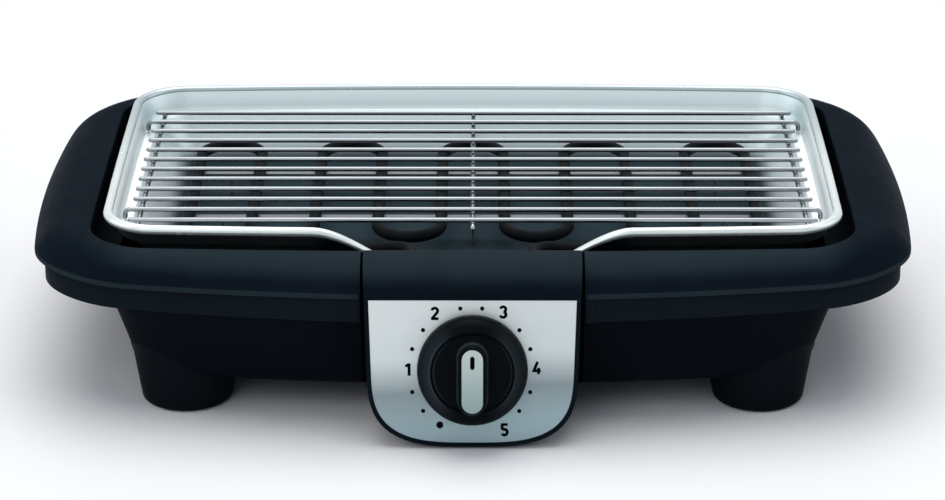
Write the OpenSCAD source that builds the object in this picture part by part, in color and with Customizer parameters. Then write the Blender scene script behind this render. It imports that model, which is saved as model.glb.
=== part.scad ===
// Open electric table grill. A dark plastic bowl on four feet carries a wide rim whose two ends
// are the handles. Inside it stand a pressed reflector tray, a serpentine heating element that
// plugs up and out together with its control box, and a welded wire cooking grid.
// Millimetres, +Z up, front towards -Y, origin on the table under the middle of the whole grill.

/* [Rim] */
// Width over the two handles
rim_w = 534; // [520:1:556]
// Depth of the rim along its middle
rim_d = 329; // [320:1:345]
// Width of each handle, from the opening to the outer lip
handle_w = 39; // [36:0.5:46]
// Width of the rim in front of and behind the opening
border_w = 28.5; // [25:0.5:32]
// Corner radius of the outer lip, seen from above
rim_corner_r = 58; // [50:1:70]
// Corner radius of the opening
opening_corner_r = 36; // [28:1:48]
// How far the middle of the front and back lips stands out past their ends
rim_bow = 27.5; // [22:0.5:32]
// How far the middle of each handle stands out past its ends
handle_bow = 10; // [4:0.5:14]
// How far the long sides of the opening bow outwards
opening_bow = 6; // [0:0.5:9]
// Fall of the rim's domed top from the opening to the lip
rim_fall = 16.5; // [12:0.5:20]
// Height of the upright face of the outer lip
lip_h = 2.9; // [2:0.1:4]
// Depth of the inner skirt that frames the opening
skirt_h = 9; // [6:0.5:12]
// Wall of all the plastic mouldings
wall = 2.5; // [2:0.1:3]

/* [Bowl] */
// Height of the bowl's underside above the table
bowl_z = 18.6; // [16:0.2:22]
// Height of the bowl from its underside to its flange
bowl_h = 49; // [44:0.5:56]
// Set-back of the bowl behind the lip at the handles
bowl_setback_x = 48.5; // [46:0.5:56]
// Set-back of the bowl behind the lip at the front and back
bowl_setback_y = 7.5; // [7:0.5:12]
// How far the bowl's ends lean inwards over their height
bowl_lean_x = 12; // [8:0.5:16]
// How far the bowl's front and back lean inwards over their height
bowl_lean_y = 7; // [5:0.5:9]
// Radius between the bowl's walls and its floor
bowl_floor_r = 14; // [12:0.5:18]
// Corner radius of the bowl at its flange
bowl_corner_r = 42; // [34:1:50]
// Height of the upright band between the flange and the lip
band_h = 15.2; // [11:0.2:18]
// How far the handles overhang the band
handle_overhang = 8; // [4:0.5:12]
// Corner radius of the band
band_corner_r = 48; // [40:1:60]
// Shadow line between the band and the lip, and between the lip and the control box
seam = 0.3; // [0.2:0.05:0.6]
// Depth of the bay in the bowl's front wall that takes the back of the control box
bay_depth = 14; // [12:0.5:18]

/* [Feet] */
// Diameter of a foot where it meets the table
foot_d = 54; // [46:1:58]
// Draft angle of a foot
foot_draft = 11.3; // [6:0.1:14]
// How far the top of a foot sits back behind its bottom
foot_lean = 13; // [6:0.5:16]
// Distance of a foot's centre in from the bowl's ends
foot_in_x = 47.1; // [42:0.1:60]
// Distance of a foot's centre in from the bowl's front and back
foot_in_y = 43.1; // [40:0.1:56]
// Diameter of the rubber pad under each foot
pad_d = 38; // [30:1:42]
// Thickness of a rubber pad
pad_t = 3; // [2:0.2:4]

/* [Tray] */
// Gap between the tray's rolled edge and the rim's opening
tray_gap = 7.4; // [5:0.2:10]
// Height of the rolled edge above the rim
tray_rise = 10; // [6:0.5:14]
// Radius of the rolled edge
roll_r = 2.8; // [2:0.1:3.2]
// Depth of the tray from the middle of the rolled edge to its floor
tray_depth = 42; // [38:0.5:46]
// Thickness of the tray's sheet metal
sheet_t = 1; // [0.8:0.1:1.4]
// Corner radius of the rolled edge
tray_corner_r = 29; // [22:1:36]
// Depth of the grid ledge below the middle of the rolled edge
ledge_drop = 12; // [10:0.5:14]
// How far the rolled edge dips behind the control box
dip_depth = 25; // [20:0.5:27]
// Length of each slope of the dip
dip_run = 68; // [55:1:75]

/* [Heating element] */
// Diameter of the element's tube
tube_d = 7.2; // [6.5:0.1:8]
// Gap between the tray's end walls and the element's outer runs, at the floor
element_margin = 4.6; // [3:0.2:8]
// Height of the tube's centre line above the tray's floor
element_lift = 20; // [16:0.5:22]
// Distance of the two tube ends either side of the middle
lead_x = 36; // [30:0.5:40]
// Height of the tube ends above the element
lead_rise = 5.5; // [5:0.1:7]
// Bend radius of the leads
lead_bend_r = 16; // [12:0.5:18]

/* [Cooking grid] */
// Diameter of every grid wire
wire_d = 3; // [2.5:0.1:4]
// Number of wires across
wire_count = 12; // [10:1:13]
// Distance between neighbouring wires
wire_pitch = 16.85; // [15:0.05:17.5]
// Clearance between the wire ends and the tray's rolled edge
grid_end_gap = 12; // [10:0.5:14]
// Depth of the grid's top face below the top of the rolled edge
grid_drop = 6.6; // [5:0.2:8]

/* [Control box] */
// Width of the box along the top of its front panel
box_w = 126; // [118:1:134]
// Narrowing of each side towards the bottom, in degrees
box_taper = 2; // [0:0.1:3]
// Length of the front panel down its slope
panel_l = 87; // [83:0.5:87.5]
// Lean of the front panel back from upright
panel_tilt = 15; // [13:0.5:18]
// How far the top of the panel stands in front of the lip
panel_proud = 2.5; // [2:0.1:5]
// Black margin round the silver faceplate
plate_margin = 2.6; // [2:0.1:4]
// Thickness of the faceplate
plate_t = 1; // [0.8:0.1:1.4]
// Distance of the dial's centre below the top of the panel
dial_drop = 41; // [38:0.5:44]

/* [Knob] */
// Diameter of the knob
knob_d = 64.2; // [54:0.2:66]
// Height of the knob's rim above the faceplate
knob_h = 16.5; // [13:0.5:19]
// Diameter of the disc inside the knob's groove
knob_disc_d = 46; // [40:0.5:48]
// Width of the grip bar where it leaves the disc
grip_w = 19.5; // [16:0.5:22]
// Height of the grip bar above the disc
grip_h = 10; // [7:0.5:13]
// Width of the silver insert
insert_w = 12.4; // [9:0.2:13]
// Length of the silver insert
insert_l = 37; // [30:0.5:38]
// Diameter of the thermostat's shaft
shaft_d = 6; // [5:0.1:7]

/* [Hidden] */

// Points round each corner, along each end, along the back and along the front
seg_body = [7, 6, 10, 10];
seg_tray = [7, 6, 8, 22];
// Play between parts that slide past or drop into each other
fit_gap = 0.3;
run_gap = 0.06;

rim_half = [rim_w / 2, rim_d / 2];
opening_half = rim_half - [handle_w, border_w];
flange_z = bowl_z + bowl_h;
lip_z = flange_z + band_h + seam;
rim_top = lip_z + lip_h + rim_fall;
band_inset = 1.2;
band_bow = [5, rim_bow * 1.2];

bowl_half = rim_half - [bowl_setback_x, bowl_setback_y];
bowl_mid = bowl_half - [bowl_lean_x, bowl_lean_y];
bowl_mid_z = bowl_z + bowl_floor_r;
bowl_bow = rim_bow * 0.95 * pow(bowl_half.x / rim_half.x, 2);
foot_pos = bowl_half - [foot_in_x, foot_in_y];
foot_z = pad_t / 3;

roll_half = opening_half - [tray_gap + roll_r, tray_gap + roll_r];
roll_z = rim_top + tray_rise - roll_r;
floor_z = roll_z - tray_depth;
ledge_z = roll_z - ledge_drop;
// The ledge and the floor's edge, measured in from the middle of the rolled edge
ledge_in = [13, 10];
floor_in = [36, 28];
dip_half = dip_run + lead_x - tube_d - 2;

tube_r = tube_d / 2;
run_count = 10;
element_half_w = roll_half.x - floor_in.x - element_margin - tube_r;
run_pitch = 2 * element_half_w / (run_count - 1);
bend_r = run_pitch / 2;
element_z = floor_z + element_lift;
// Free floor before and behind the bends, and the gap between them and the leads' front run
bend_margin = 16;
lead_gap = 14.6;
bend_y = roll_half.y - floor_in.y - bend_r - tube_r - bend_margin;
front_run_y = bend_y + bend_r + tube_d + lead_gap;
lead_z = element_z + lead_rise;

wire_r = wire_d / 2;
grid_z = roll_z + roll_r - grid_drop - wire_r;
wire_end_x = roll_half.x - grid_end_gap;
weld = 0.4;

// The control box: its back stands against the rim's opening and against the bay in the bowl
box_back_y = -(opening_half.y - 2);
panel_top = [-(rim_half.y + panel_proud), lip_z + 2.2];
box_half = box_w / 2;
box_rise = 30;
notch_half = box_half + box_rise * tan(box_taper) + 1.2;
bay_y = -(bowl_half.y - bay_depth);
cover_y = bay_y - 1.5;
step_z = flange_z + 1;
// The sloping lower edge of the box's back, in y and z
knee_low = [cover_y - 14, bowl_z - 7];
knee_high = [cover_y, bowl_z + 5];
top_proud = 0.8;
plate_pocket = plate_t + 0.2;
lead_end_y = box_back_y - 5;
cover_t = wall * 0.9;
cover_play = 0.15;
// Inner faces of the rear cover, behind the leads and below the step
cover_in_y = [box_back_y - cover_t - cover_play, cover_y - cover_t - cover_play];

// Parts inside the box, set out from the panel's inner face
frame_depth = wall + plate_pocket + 1.2;
frame_t = 1.4;
stack_x = 14;
ring_t = 2.6;
strip_t = 0.5;
flange_half = lead_x + tube_r + 2;
switch_x = max(box_half - 13, flange_half + 8.4);
plunger_r = 1.8;
block_z = 30;
plunger_y = bay_y + wall / 2;
bush_x = 29 - box_half;
bush_r = 6.5;
cord_r = 3.6;
thread_r = 1.9;
rim_screw_pos = [bowl_half.x + 21.5, 72];
rim_screw_l = 14;
pin_l = 9;
cradle_y = [-38, 40];
dial_hole_l = 40;
shaft_hole_l = 60;
bush_hole_l = 12;
cover_screw_l = 10;
// Depth and width to spare of the blocks that cut the control box to shape
cut_depth = 80;
side_spare = 8;
cover_screw_pos = [46, flange_z - 10];
post_pos = [run_pitch * 4, [-84, -12, 60]];

// ---------------------------------------------------------------- outlines and lofts

function corner(c, r, a, n) = [for (i = [0:n]) c + r * [cos(a + 90 * i / n), sin(a + 90 * i / n)]];
function between(p, q, n) = [for (i = [1:n - 1]) p + (q - p) * i / n];

// A rounded rectangle of half size h whose sides bow outwards by bow at their middles
function outline(h, r, bow, seg) =
    let (c = h - [r, r], raw = concat(
        corner(c, r, 0, seg[0]), between([c.x, h.y], [-c.x, h.y], seg[2]),
        corner([-c.x, c.y], r, 90, seg[0]), between([-h.x, c.y], [-h.x, -c.y], seg[1]),
        corner(-c, r, 180, seg[0]), between([-c.x, -h.y], [c.x, -h.y], seg[3]),
        corner([c.x, -c.y], r, 270, seg[0]), between([h.x, -c.y], [h.x, c.y], seg[1])))
    [for (p = raw) [p.x * (1 - bow.x / h.x * pow(p.y / h.y, 2)),
                    p.y * (1 - bow.y / h.y * pow(p.x / h.x, 2))]];

function lift(points, z) = [for (p = points) [p.x, p.y, z]];

function ring_id(k, i, m, n) = (k % m) * n + i % n;

// A skin through rings of equal length. A closed one joins its last ring to its first.
module loft(rings, closed = false) {
    m = len(rings);
    n = len(rings[0]);
    sides = [for (k = [0:closed ? m - 1 : m - 2], i = [0:n - 1]) each [
        [ring_id(k, i, m, n), ring_id(k + 1, i, m, n), ring_id(k + 1, i + 1, m, n)],
        [ring_id(k, i, m, n), ring_id(k + 1, i + 1, m, n), ring_id(k, i + 1, m, n)]]];
    caps = closed ? [] : [[for (i = [0:n - 1]) i], [for (i = [n - 1:-1:0]) (m - 1) * n + i]];
    polyhedron([for (r = rings) each r], concat(sides, caps), convexity = 8);
}

function unit(v) = v / norm(v);

// Direction of a path at its point i, halfway between its two neighbouring stretches
function heading(path, i) =
    unit((i > 0 ? unit(path[i] - path[i - 1]) : [0, 0, 0])
        + (i < len(path) - 1 ? unit(path[i + 1] - path[i]) : [0, 0, 0]));

// A round tube along a path that never runs upright
module tube(path, r, sides) {
    loft([for (i = [0:len(path) - 1])
        let (t = heading(path, i), s = unit(cross([0, 0, 1], t)), u = cross(t, s))
        [for (k = [0:sides - 1]) path[i] + r * (cos(360 * k / sides) * s - sin(360 * k / sides) * u)]]);
}

module at_corners(p) {
    for (sx = [-1, 1], sy = [-1, 1]) translate([sx * p.x, sy * p.y, 0]) children();
}

module both_sides() {
    for (m = [0, 1]) mirror([m, 0, 0]) children();
}

// ---------------------------------------------------------------- rim

function rim_line(u) =
    let (a = outline(opening_half, opening_corner_r, [1, opening_bow], seg_body),
         b = outline(rim_half, rim_corner_r, [handle_bow, rim_bow], seg_body))
    [for (i = [0:len(a) - 1]) a[i] * (1 - u) + b[i] * u];

// Height of the domed top, u running from the opening to the lip
function rim_z(u) = rim_top - rim_fall * pow(u, 4);
function rim_under_z(u) = rim_z(min(1, u + 0.04)) - wall;

module top_rim() {
    uw = wall / handle_w;
    boss_top = rim_under_z((rim_screw_pos.x - opening_half.x) / handle_w) + 1.2;
    color("#23282c") difference() {
        union() {
            loft(concat(
                [lift(rim_line(1), lip_z)],
                [for (u = [1, 0.95, 0.87, 0.76, 0.62, 0.46, 0.3, 0.15, 0.03]) lift(rim_line(u), rim_z(u))],
                [lift(rim_line(0), rim_top - 1.2), lift(rim_line(0), rim_top - skirt_h),
                 lift(rim_line(uw), rim_top - skirt_h)],
                [for (u = [uw, 0.35, 0.62, 0.82, 1 - uw]) lift(rim_line(u), rim_under_z(u))],
                [lift(rim_line(1 - uw), lip_z)]), closed = true);
            at_corners(rim_screw_pos)
                translate([0, 0, flange_z + wall + fit_gap])
                    cylinder(r = 4.5, h = boss_top - flange_z - wall - fit_gap, $fn = 32);
            both_sides() rim_end_web();
        }
        translate([-notch_half, -rim_d, 0]) cube([2 * notch_half, rim_d - opening_half.y + 8, 2 * rim_top]);
        at_corners(rim_screw_pos)
            translate([0, 0, flange_z]) cylinder(r = thread_r + run_gap, h = rim_screw_l, $fn = 24);
    }
}

// Closes the cut end of the rim beside the control box
module rim_end_web() {
    drop = 0.7;
    y0 = opening_half.y - opening_bow * pow(notch_half / opening_half.x, 2) + 0.4;
    y1 = rim_half.y - rim_bow * pow(notch_half / rim_half.x, 2) - 0.6;
    translate([notch_half - 1, 0, 0]) rotate([90, 0, 90])
        linear_extrude(wall + 1)
            polygon(concat(
                [for (u = [0:0.1:1]) [-(y0 * (1 - u) + y1 * u), rim_z(u) - drop]],
                [[-y1, lip_z + 0.2], [-y1 + wall, lip_z + 0.2], [-y0 - wall, rim_top - skirt_h + 0.3],
                 [-y0, rim_top - skirt_h + 0.3]]));
}

// ---------------------------------------------------------------- bowl

function bowl_line(h, inset) =
    outline(h - [inset, inset], bowl_corner_r - (bowl_half.x - h.x) * 0.5 - inset,
        [1, bowl_bow * pow(h.x / bowl_half.x, 2)], seg_body);

function band_line(inset) =
    outline(rim_half - [handle_overhang + inset, band_inset + inset], band_corner_r - inset,
        band_bow, seg_body);

// The rounded foot of the bowl's wall, from the floor (a = 90) to the wall (a = 0)
function floor_ring(r, a) = lift(bowl_line(bowl_mid, bowl_floor_r - r * cos(a)), bowl_mid_z - r * sin(a));

floor_steps = [90, 68, 45, 22, 0];

module bowl_outside() {
    loft(concat([for (a = floor_steps) floor_ring(bowl_floor_r, a)], [lift(bowl_line(bowl_half, 0), flange_z)]));
}

module base_bowl() {
    r_in = bowl_floor_r - wall;
    color("#1b1f22") difference() {
        union() {
            difference() {
                loft(concat(
                    [for (a = floor_steps) floor_ring(bowl_floor_r, a)],
                    [lift(bowl_line(bowl_half, 0), flange_z),
                     lift(band_line(0), flange_z),
                     lift(band_line(0), flange_z + band_h),
                     lift(band_line(wall), flange_z + band_h),
                     lift(band_line(wall), flange_z + wall),
                     lift(bowl_line(bowl_half, wall), flange_z + wall)],
                    [for (i = [len(floor_steps) - 1:-1:0]) floor_ring(r_in, floor_steps[i])]));
                translate([-notch_half, -rim_d, 0]) cube([2 * notch_half, rim_d + bay_y, 2 * rim_top]);
            }
            control_bay();
            both_sides() bay_guide();
            for (s = [-1, 1], y = post_pos[1]) translate([s * post_pos.x, y, bowl_z + 1]) {
                cylinder(r = 7, h = floor_z - sheet_t - fit_gap - bowl_z - 1, $fn = 32);
                cylinder(r1 = 12, r2 = 7, h = 14, $fn = 32);
            }
            at_corners(foot_pos) translate([0, 0, bowl_z + 1]) cylinder(r = 6, h = 16, $fn = 32);
        }
        at_corners(foot_pos) translate([0, 0, bowl_z - 1]) cylinder(r = thread_r + run_gap, h = 16, $fn = 24);
        at_corners(rim_screw_pos) translate([0, 0, flange_z - 1]) {
            cylinder(r = thread_r + 0.3, h = wall + 2, $fn = 24);
        }
    }
}

// How far the bowl's front wall falls back beside the bay
function bay_fall(x) = bowl_bow * pow(x / bowl_half.x, 2);

// The pocket in the bowl's front wall: a back wall and two cheeks
module control_bay() {
    top_z = flange_z;
    low_z = bowl_mid_z - sqrt(pow(bowl_floor_r, 2) - pow(bowl_floor_r - bay_depth + bowl_lean_y, 2)) + 1;
    translate([-notch_half - wall, bay_y, low_z]) cube([2 * (notch_half + wall), wall, top_z - low_z]);
    both_sides() translate([notch_half, 0, 0]) rotate([90, 0, 90])
        linear_extrude(wall)
            polygon(concat(
                [[bay_y + wall, low_z], [bay_y + wall, top_z + wall],
                 [bay_fall(notch_half) + 1.2 - bowl_half.y, top_z + wall]],
                [for (a = [0, 22, 45]) [
                    bay_fall(notch_half) + bowl_floor_r - bowl_mid.y - (bowl_floor_r - 1.2) * cos(a),
                    bowl_mid_z - (bowl_floor_r - 1.2) * sin(a)]]));
}

// The small upright tab that guides the control box down into its bay
module bay_guide() {
    y = rim_half.y - band_inset - band_bow.y * pow(notch_half / rim_half.x, 2);
    translate([notch_half, -y - 0.8, flange_z]) cube([5.5, wall + 2, band_h]);
}

// ---------------------------------------------------------------- feet

module foot(sx, sy) {
    top = bowl_mid_z + 15;
    color("#16191b") translate([sx * foot_pos.x, sy * foot_pos.y, 0]) difference() {
        hull() {
            translate([0, 0, foot_z]) cylinder(d = foot_d, h = 0.1, $fn = 48);
            translate([0, -sy * foot_lean, top])
                cylinder(d = foot_d + 2 * (top - foot_z) * tan(foot_draft), h = 0.1, $fn = 48);
        }
        translate([-sx * foot_pos.x, -sy * foot_pos.y, 0]) bowl_outside();
        translate([0, 0, -1]) cylinder(d = pad_d + 2 * fit_gap, h = pad_t + 1, $fn = 48);
        cylinder(r = 4.6, h = pad_t + 5, $fn = 32);
        cylinder(r = thread_r + 0.3, h = bowl_z, $fn = 24);
    }
}

module foot_pads() {
    color("#0d0e0f") at_corners(foot_pos) cylinder(d = pad_d, h = pad_t, $fn = 48);
}

module foot_screws() {
    color("#9aa0a4") at_corners(foot_pos) translate([0, 0, pad_t + 2.4]) {
        cylinder(r = 4.2, h = 2.6, $fn = 32);
        cylinder(r = thread_r, h = bowl_z - pad_t + 9, $fn = 24);
    }
}

module rim_screws() {
    color("#9aa0a4") at_corners(rim_screw_pos) translate([0, 0, flange_z - 2.2]) {
        cylinder(r = 3.8, h = 2.2, $fn = 32);
        cylinder(r = thread_r, h = rim_screw_l, $fn = 24);
    }
}

// ---------------------------------------------------------------- reflector tray

function smooth(t) = let (c = max(0, min(1, t))) c * c * (3 - 2 * c);

// The rolled edge falls behind the control box, so that the element's leads pass over it
function dip(p) = p.y < 0 ? dip_depth * smooth((dip_half - abs(p.x)) / dip_run) : 0;

function tray_ring(in_x, in_y, z) =
    let (h = roll_half - [in_x, in_y], share = (z - floor_z) / tray_depth)
    [for (p = outline(h, max(6, tray_corner_r - in_x * 0.6), [1, opening_bow * h.x / roll_half.x], seg_tray))
        [p.x, p.y, z - dip(p) * max(0, share)]];

// Upper face of the pressed sheet: inset from the rolled edge in x and y, and height
tray_profile = [
    [3.4, 3.4, roll_z - 1], [4.6, 4.8, roll_z - 3.2], [6.4, 8.6, ledge_z],
    [ledge_in.x, ledge_in.y, ledge_z], [25, 19, (ledge_z + floor_z) / 2 - 1],
    [32, 25, floor_z + 4], [floor_in.x, floor_in.y, floor_z + 0.8], [floor_in.x + 5, floor_in.y + 5, floor_z]];

module reflector_tray() {
    last = len(tray_profile) - 1;
    color("#c9cdd0") {
        difference() {
            union() {
                loft(concat(
                    [for (i = [last:-1:1]) let (p = tray_profile[i])
                        tray_ring(p[0] - sheet_t, p[1] - sheet_t, p[2] - sheet_t)],
                    [tray_ring(roll_r * 0.9, roll_r * 0.9, roll_z - roll_r * 0.75)],
                    [for (a = [-100, -50, 0, 45, 90]) tray_ring(-roll_r * cos(a), -roll_r * cos(a), roll_z + roll_r * sin(a))],
                    [for (p = tray_profile) tray_ring(p[0], p[1], p[2])]));
                for (s = [-1, 1], y = post_pos[1]) translate([s * post_pos.x, y, floor_z - sheet_t / 2])
                    cylinder(r1 = 6.5, r2 = 4, h = 1.4 + sheet_t / 2, $fn = 32);
            }
        }
    }
}

// ---------------------------------------------------------------- heating element

function flat_arc(c, r, a0, a1, n, z0, z1) =
    [for (i = [0:n]) let (a = a0 + (a1 - a0) * i / n)
        [c.x + r * cos(a), c.y + r * sin(a), z0 + (z1 - z0) * i / n]];

// From the control box back over the dip, along the front and up to the first run
left_lead = concat(
    [[-lead_x, lead_end_y, lead_z], [-lead_x, -front_run_y - lead_bend_r - 6, lead_z]],
    flat_arc([-lead_x - lead_bend_r, -front_run_y - lead_bend_r], lead_bend_r, 0, 90, 6, lead_z, element_z + 2),
    flat_arc([-element_half_w + lead_bend_r, -front_run_y + lead_bend_r], lead_bend_r, 270, 180, 6, element_z, element_z));

// The U-bend between runs i and i + 1, at the back when i is even and at the front when it is odd
function u_bend(i) =
    let (x = (i + 1 - run_count / 2) * run_pitch, side = i % 2 == 0 ? 1 : -1)
    [for (k = [0:9]) [x - bend_r * cos(20 * k), side * (bend_y + bend_r * sin(20 * k)), element_z]];

element_path = concat(
    left_lead,
    [for (i = [0:run_count - 2]) each u_bend(i)],
    [for (i = [len(left_lead) - 1:-1:0]) [-left_lead[i].x, left_lead[i].y, left_lead[i].z]]);

module heating_element() {
    color("#2a2a2c") tube(element_path, tube_r, 12);
}

module at_leads(y) {
    for (s = [-1, 1]) translate([s * lead_x, y, lead_z]) rotate([90, 0, 0]) children();
}

module element_seals() {
    color("#efe9dc") at_leads(lead_end_y) difference() {
        cylinder(r = tube_r + 0.4, h = 4, $fn = 32);
        translate([0, 0, -1]) cylinder(r = 1.6 + run_gap, h = 6, $fn = 24);
    }
}

module element_pins() {
    color("#b9b4a6") at_leads(lead_end_y) {
        cylinder(r = 1.6, h = pin_l, $fn = 24);
        translate([-3.2, -0.4, pin_l]) cube([6.4, 0.8, 5]);
    }
}

// Steel plate inside the box's back wall that clamps both tube ends
module element_flange() {
    color("#a9adb0") difference() {
        translate([-flange_half, box_back_y - wall - 1.6, step_z + wall + fit_gap])
            cube([2 * flange_half, 1.6, lead_z + tube_r + 1.6 - step_z - wall - fit_gap]);
        at_leads(box_back_y) cylinder(r = tube_r + run_gap, h = wall + 4, $fn = 32);
        flange_screw_sites() cylinder(r = 1.7, h = wall + 6, center = true, $fn = 24);
    }
}

module flange_screw_sites() {
    for (s = [-1, 1]) translate([s * 14, box_back_y - wall, lead_z - 8]) rotate([90, 0, 0]) children();
}

// Two stamped straps under the runs, each with a foot at both ends and one in the middle
module element_cradles() {
    strap_t = 1.2;
    strap_w = 9;
    leg_h = element_lift - tube_r - fit_gap - strap_t;
    color("#a9adb0") for (y = cradle_y) translate([0, y, 0]) {
        translate([-element_half_w, -strap_w / 2, element_z - tube_r - strap_t])
            cube([2 * element_half_w, strap_w, strap_t]);
        for (x = [-element_half_w + run_pitch / 2, -strap_t / 2, element_half_w - run_pitch / 2 - strap_t])
            translate([x, -strap_w / 2, floor_z + fit_gap]) cube([strap_t, strap_w, leg_h + 0.2]);
    }
}

// ---------------------------------------------------------------- cooking grid

module x_wire(half, y) {
    translate([-half, y, grid_z]) rotate([0, 90, 0]) cylinder(r = wire_r, h = 2 * half, $fn = 24);
}

// A wire whose two ends turn down to stand on the tray's ledge
module leg_wire(y) {
    bend = 3.2;
    x_wire(wire_end_x, y);
    both_sides() translate([wire_end_x, y, grid_z - bend]) {
        rotate([90, 0, 0]) rotate_extrude(angle = 90, $fn = 48) translate([bend, 0]) circle(r = wire_r, $fn = 24);
        translate([bend, 0, ledge_z + fit_gap - grid_z + bend])
            cylinder(r = wire_r, h = grid_z - bend - ledge_z - fit_gap, $fn = 24);
    }
}

// A wire along the grid, welded under the others
module cross_wire(x) {
    half = wire_pitch * (wire_count - 1) / 2 + 2;
    translate([x, half, grid_z - wire_d + weld]) rotate([90, 0, 0])
        cylinder(r = wire_r, h = 2 * half, $fn = 24);
}

// The middle wire's ends hook down
module wire_hooks() {
    bend = 3;
    half = wire_pitch * (wire_count - 1) / 2 + 2;
    for (s = [0, 180]) rotate([0, 0, s]) translate([0, -half, grid_z - wire_d + weld - bend])
        rotate([0, 0, -90]) rotate([90, 0, 0]) rotate([0, 0, 15])
            rotate_extrude(angle = 75, $fn = 48) translate([bend, 0]) circle(r = wire_r, $fn = 24);
}

module cooking_grid() {
    first = -wire_pitch * (wire_count - 1) / 2;
    color("#d9dcde") {
        for (i = [0:wire_count - 1])
            if (i == 1 || i == wire_count - 2) leg_wire(first + i * wire_pitch);
            else x_wire(wire_end_x, first + i * wire_pitch);
        for (x = [-wire_end_x + 6, 0, wire_end_x - 6]) cross_wire(x);
        wire_hooks();
    }
}

// ---------------------------------------------------------------- control box

// Places things on the front panel: x across, y up the slope, z out of the panel
module on_panel() {
    translate([0, panel_top.x, panel_top.y]) rotate([90 - panel_tilt, 0, 0]) children();
}

module on_dial() {
    on_panel() translate([0, -dial_drop, 0]) children();
}

// Front outline of the box on the panel, from top down, drawn in by inset
corner_start = 42;
corner_power = 2 / 3.2;
function box_side(s) = box_half - s * tan(box_taper);
function panel_side(top, inset) = concat(
    [[box_side(top) - inset, -top]],
    [for (i = [0:12]) let (a = 7.5 * i, s = corner_start + (panel_l - inset - corner_start) * pow(sin(a), corner_power))
        [(box_side(s) - inset) * pow(cos(a), corner_power), -s]]);

module panel_shape(top, inset) {
    side = panel_side(top, inset);
    polygon(concat(side, [for (i = [len(side) - 2:-1:0]) [-side[i].x, side[i].y]]));
}

// Point on the panel, s down its slope and d behind its face, in y and z
function behind(s, d) = panel_top
    + s * [-sin(panel_tilt), -cos(panel_tilt)] + d * [cos(panel_tilt), -sin(panel_tilt)];

// Side view of the box's domed top, from the back wall to the panel, lowered by t
function box_top_line(t) = concat(
    [[box_back_y - t, rim_top + top_proud - 1.4 - t]],
    [for (u = [0.06:0.1:0.96]) [-(opening_half.y + u * (border_w + panel_proud)), rim_z(u) + top_proud - t]]);

// Side view of the whole box: top, panel, sloping underside and the stepped back
module box_side_view() {
    polygon(concat(
        box_top_line(0),
        [panel_top, behind(panel_l + 0.5, 0), knee_low, knee_high, [cover_y, step_z], [box_back_y, step_z]]));
}

// The same view of the hollow inside, left open at the back
module box_cavity_view() {
    polygon(concat(
        box_top_line(wall),
        [behind(wall * 0.8, wall + plate_pocket), behind(panel_l - 6, wall + plate_pocket),
         knee_low + [0, wall + 0.2], knee_low + [40, -40], [box_back_y + 20, step_z - 20],
         [box_back_y + 20, rim_top - 6]]));
}

module side_extrude(half) {
    translate([-half, 0, 0]) rotate([90, 0, 90]) linear_extrude(2 * half) children();
}

// The front outline, run straight through the box
module front_extrude(inset) {
    on_panel() translate([0, 0, -cut_depth]) linear_extrude(2 * cut_depth) panel_shape(-box_rise - 6, inset);
}

module cover_screw_sites(y) {
    for (s = [-1, 1]) translate([s * cover_screw_pos.x, y, cover_screw_pos.y]) rotate([90, 0, 0]) children();
}

module control_housing() {
    boss_l = cover_y - wall - behind(dial_drop, plate_pocket).x - 6;
    color("#23282c") difference() {
        union() {
            difference() {
                intersection() {
                    side_extrude(box_half + side_spare) box_side_view();
                    front_extrude(0);
                }
                intersection() {
                    side_extrude(box_half + side_spare) box_cavity_view();
                    front_extrude(wall);
                }
            }
            cover_screw_sites(cover_y - wall - fit_gap) cylinder(r = 4, h = boss_l, $fn = 32);
        }
        on_panel() translate([0, 0, -plate_pocket]) linear_extrude(5) panel_shape(1 - 0.2, plate_margin - 0.2);
        on_dial() cylinder(d = shaft_d + 6, h = dial_hole_l, center = true, $fn = 32);
        cover_screw_sites(cover_y) cylinder(r = thread_r + run_gap, h = wall + cover_screw_l + 2, $fn = 24);
    }
}

// The stepped back of the box. It closes the housing and holds the lead and cord openings.
module housing_rear_cover() {
    t = cover_t;
    c = cover_play;
    color("#1b1f22") difference() {
        intersection() {
            side_extrude(box_half + side_spare) polygon([
                [box_back_y - c, rim_top - wall - 1.6], [box_back_y - c, step_z + c], [cover_y - c, step_z + c],
                knee_high + [-c, 0], knee_low + [1.8, 1.7], knee_low + [0.3, 3.4],
                knee_high + [-t - c, 0.45 * t], [cover_in_y[1], step_z + t],
                [cover_in_y[0], step_z + t], [cover_in_y[0], rim_top - wall - 1.8]]);
            front_extrude(wall + c);
        }
        at_leads(box_back_y + 5) cylinder(r = tube_r + 0.6, h = wall + 10, $fn = 32);
        flange_screw_sites() cylinder(r = 1.7, h = wall + 6, center = true, $fn = 24);
        translate([switch_x, plunger_y, step_z - 1]) cylinder(r = plunger_r + 0.4, h = wall + 4, $fn = 24);
        cover_screw_sites(cover_y + 1) cylinder(r = thread_r + 0.3, h = wall + 2, $fn = 24);
        bush_site() cylinder(r = bush_r - 1.4, h = bush_hole_l, center = true, $fn = 32);
    }
}

// Middle of the box's lower rear slope, z pointing out of it. The cord leaves here, under the bowl.
module bush_site() {
    middle = (knee_low + knee_high) / 2;
    run = knee_high - knee_low;
    translate([bush_x, middle.x, middle.y]) rotate([-90 - atan2(run.x, run.y), 0, 0]) children();
}

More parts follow.
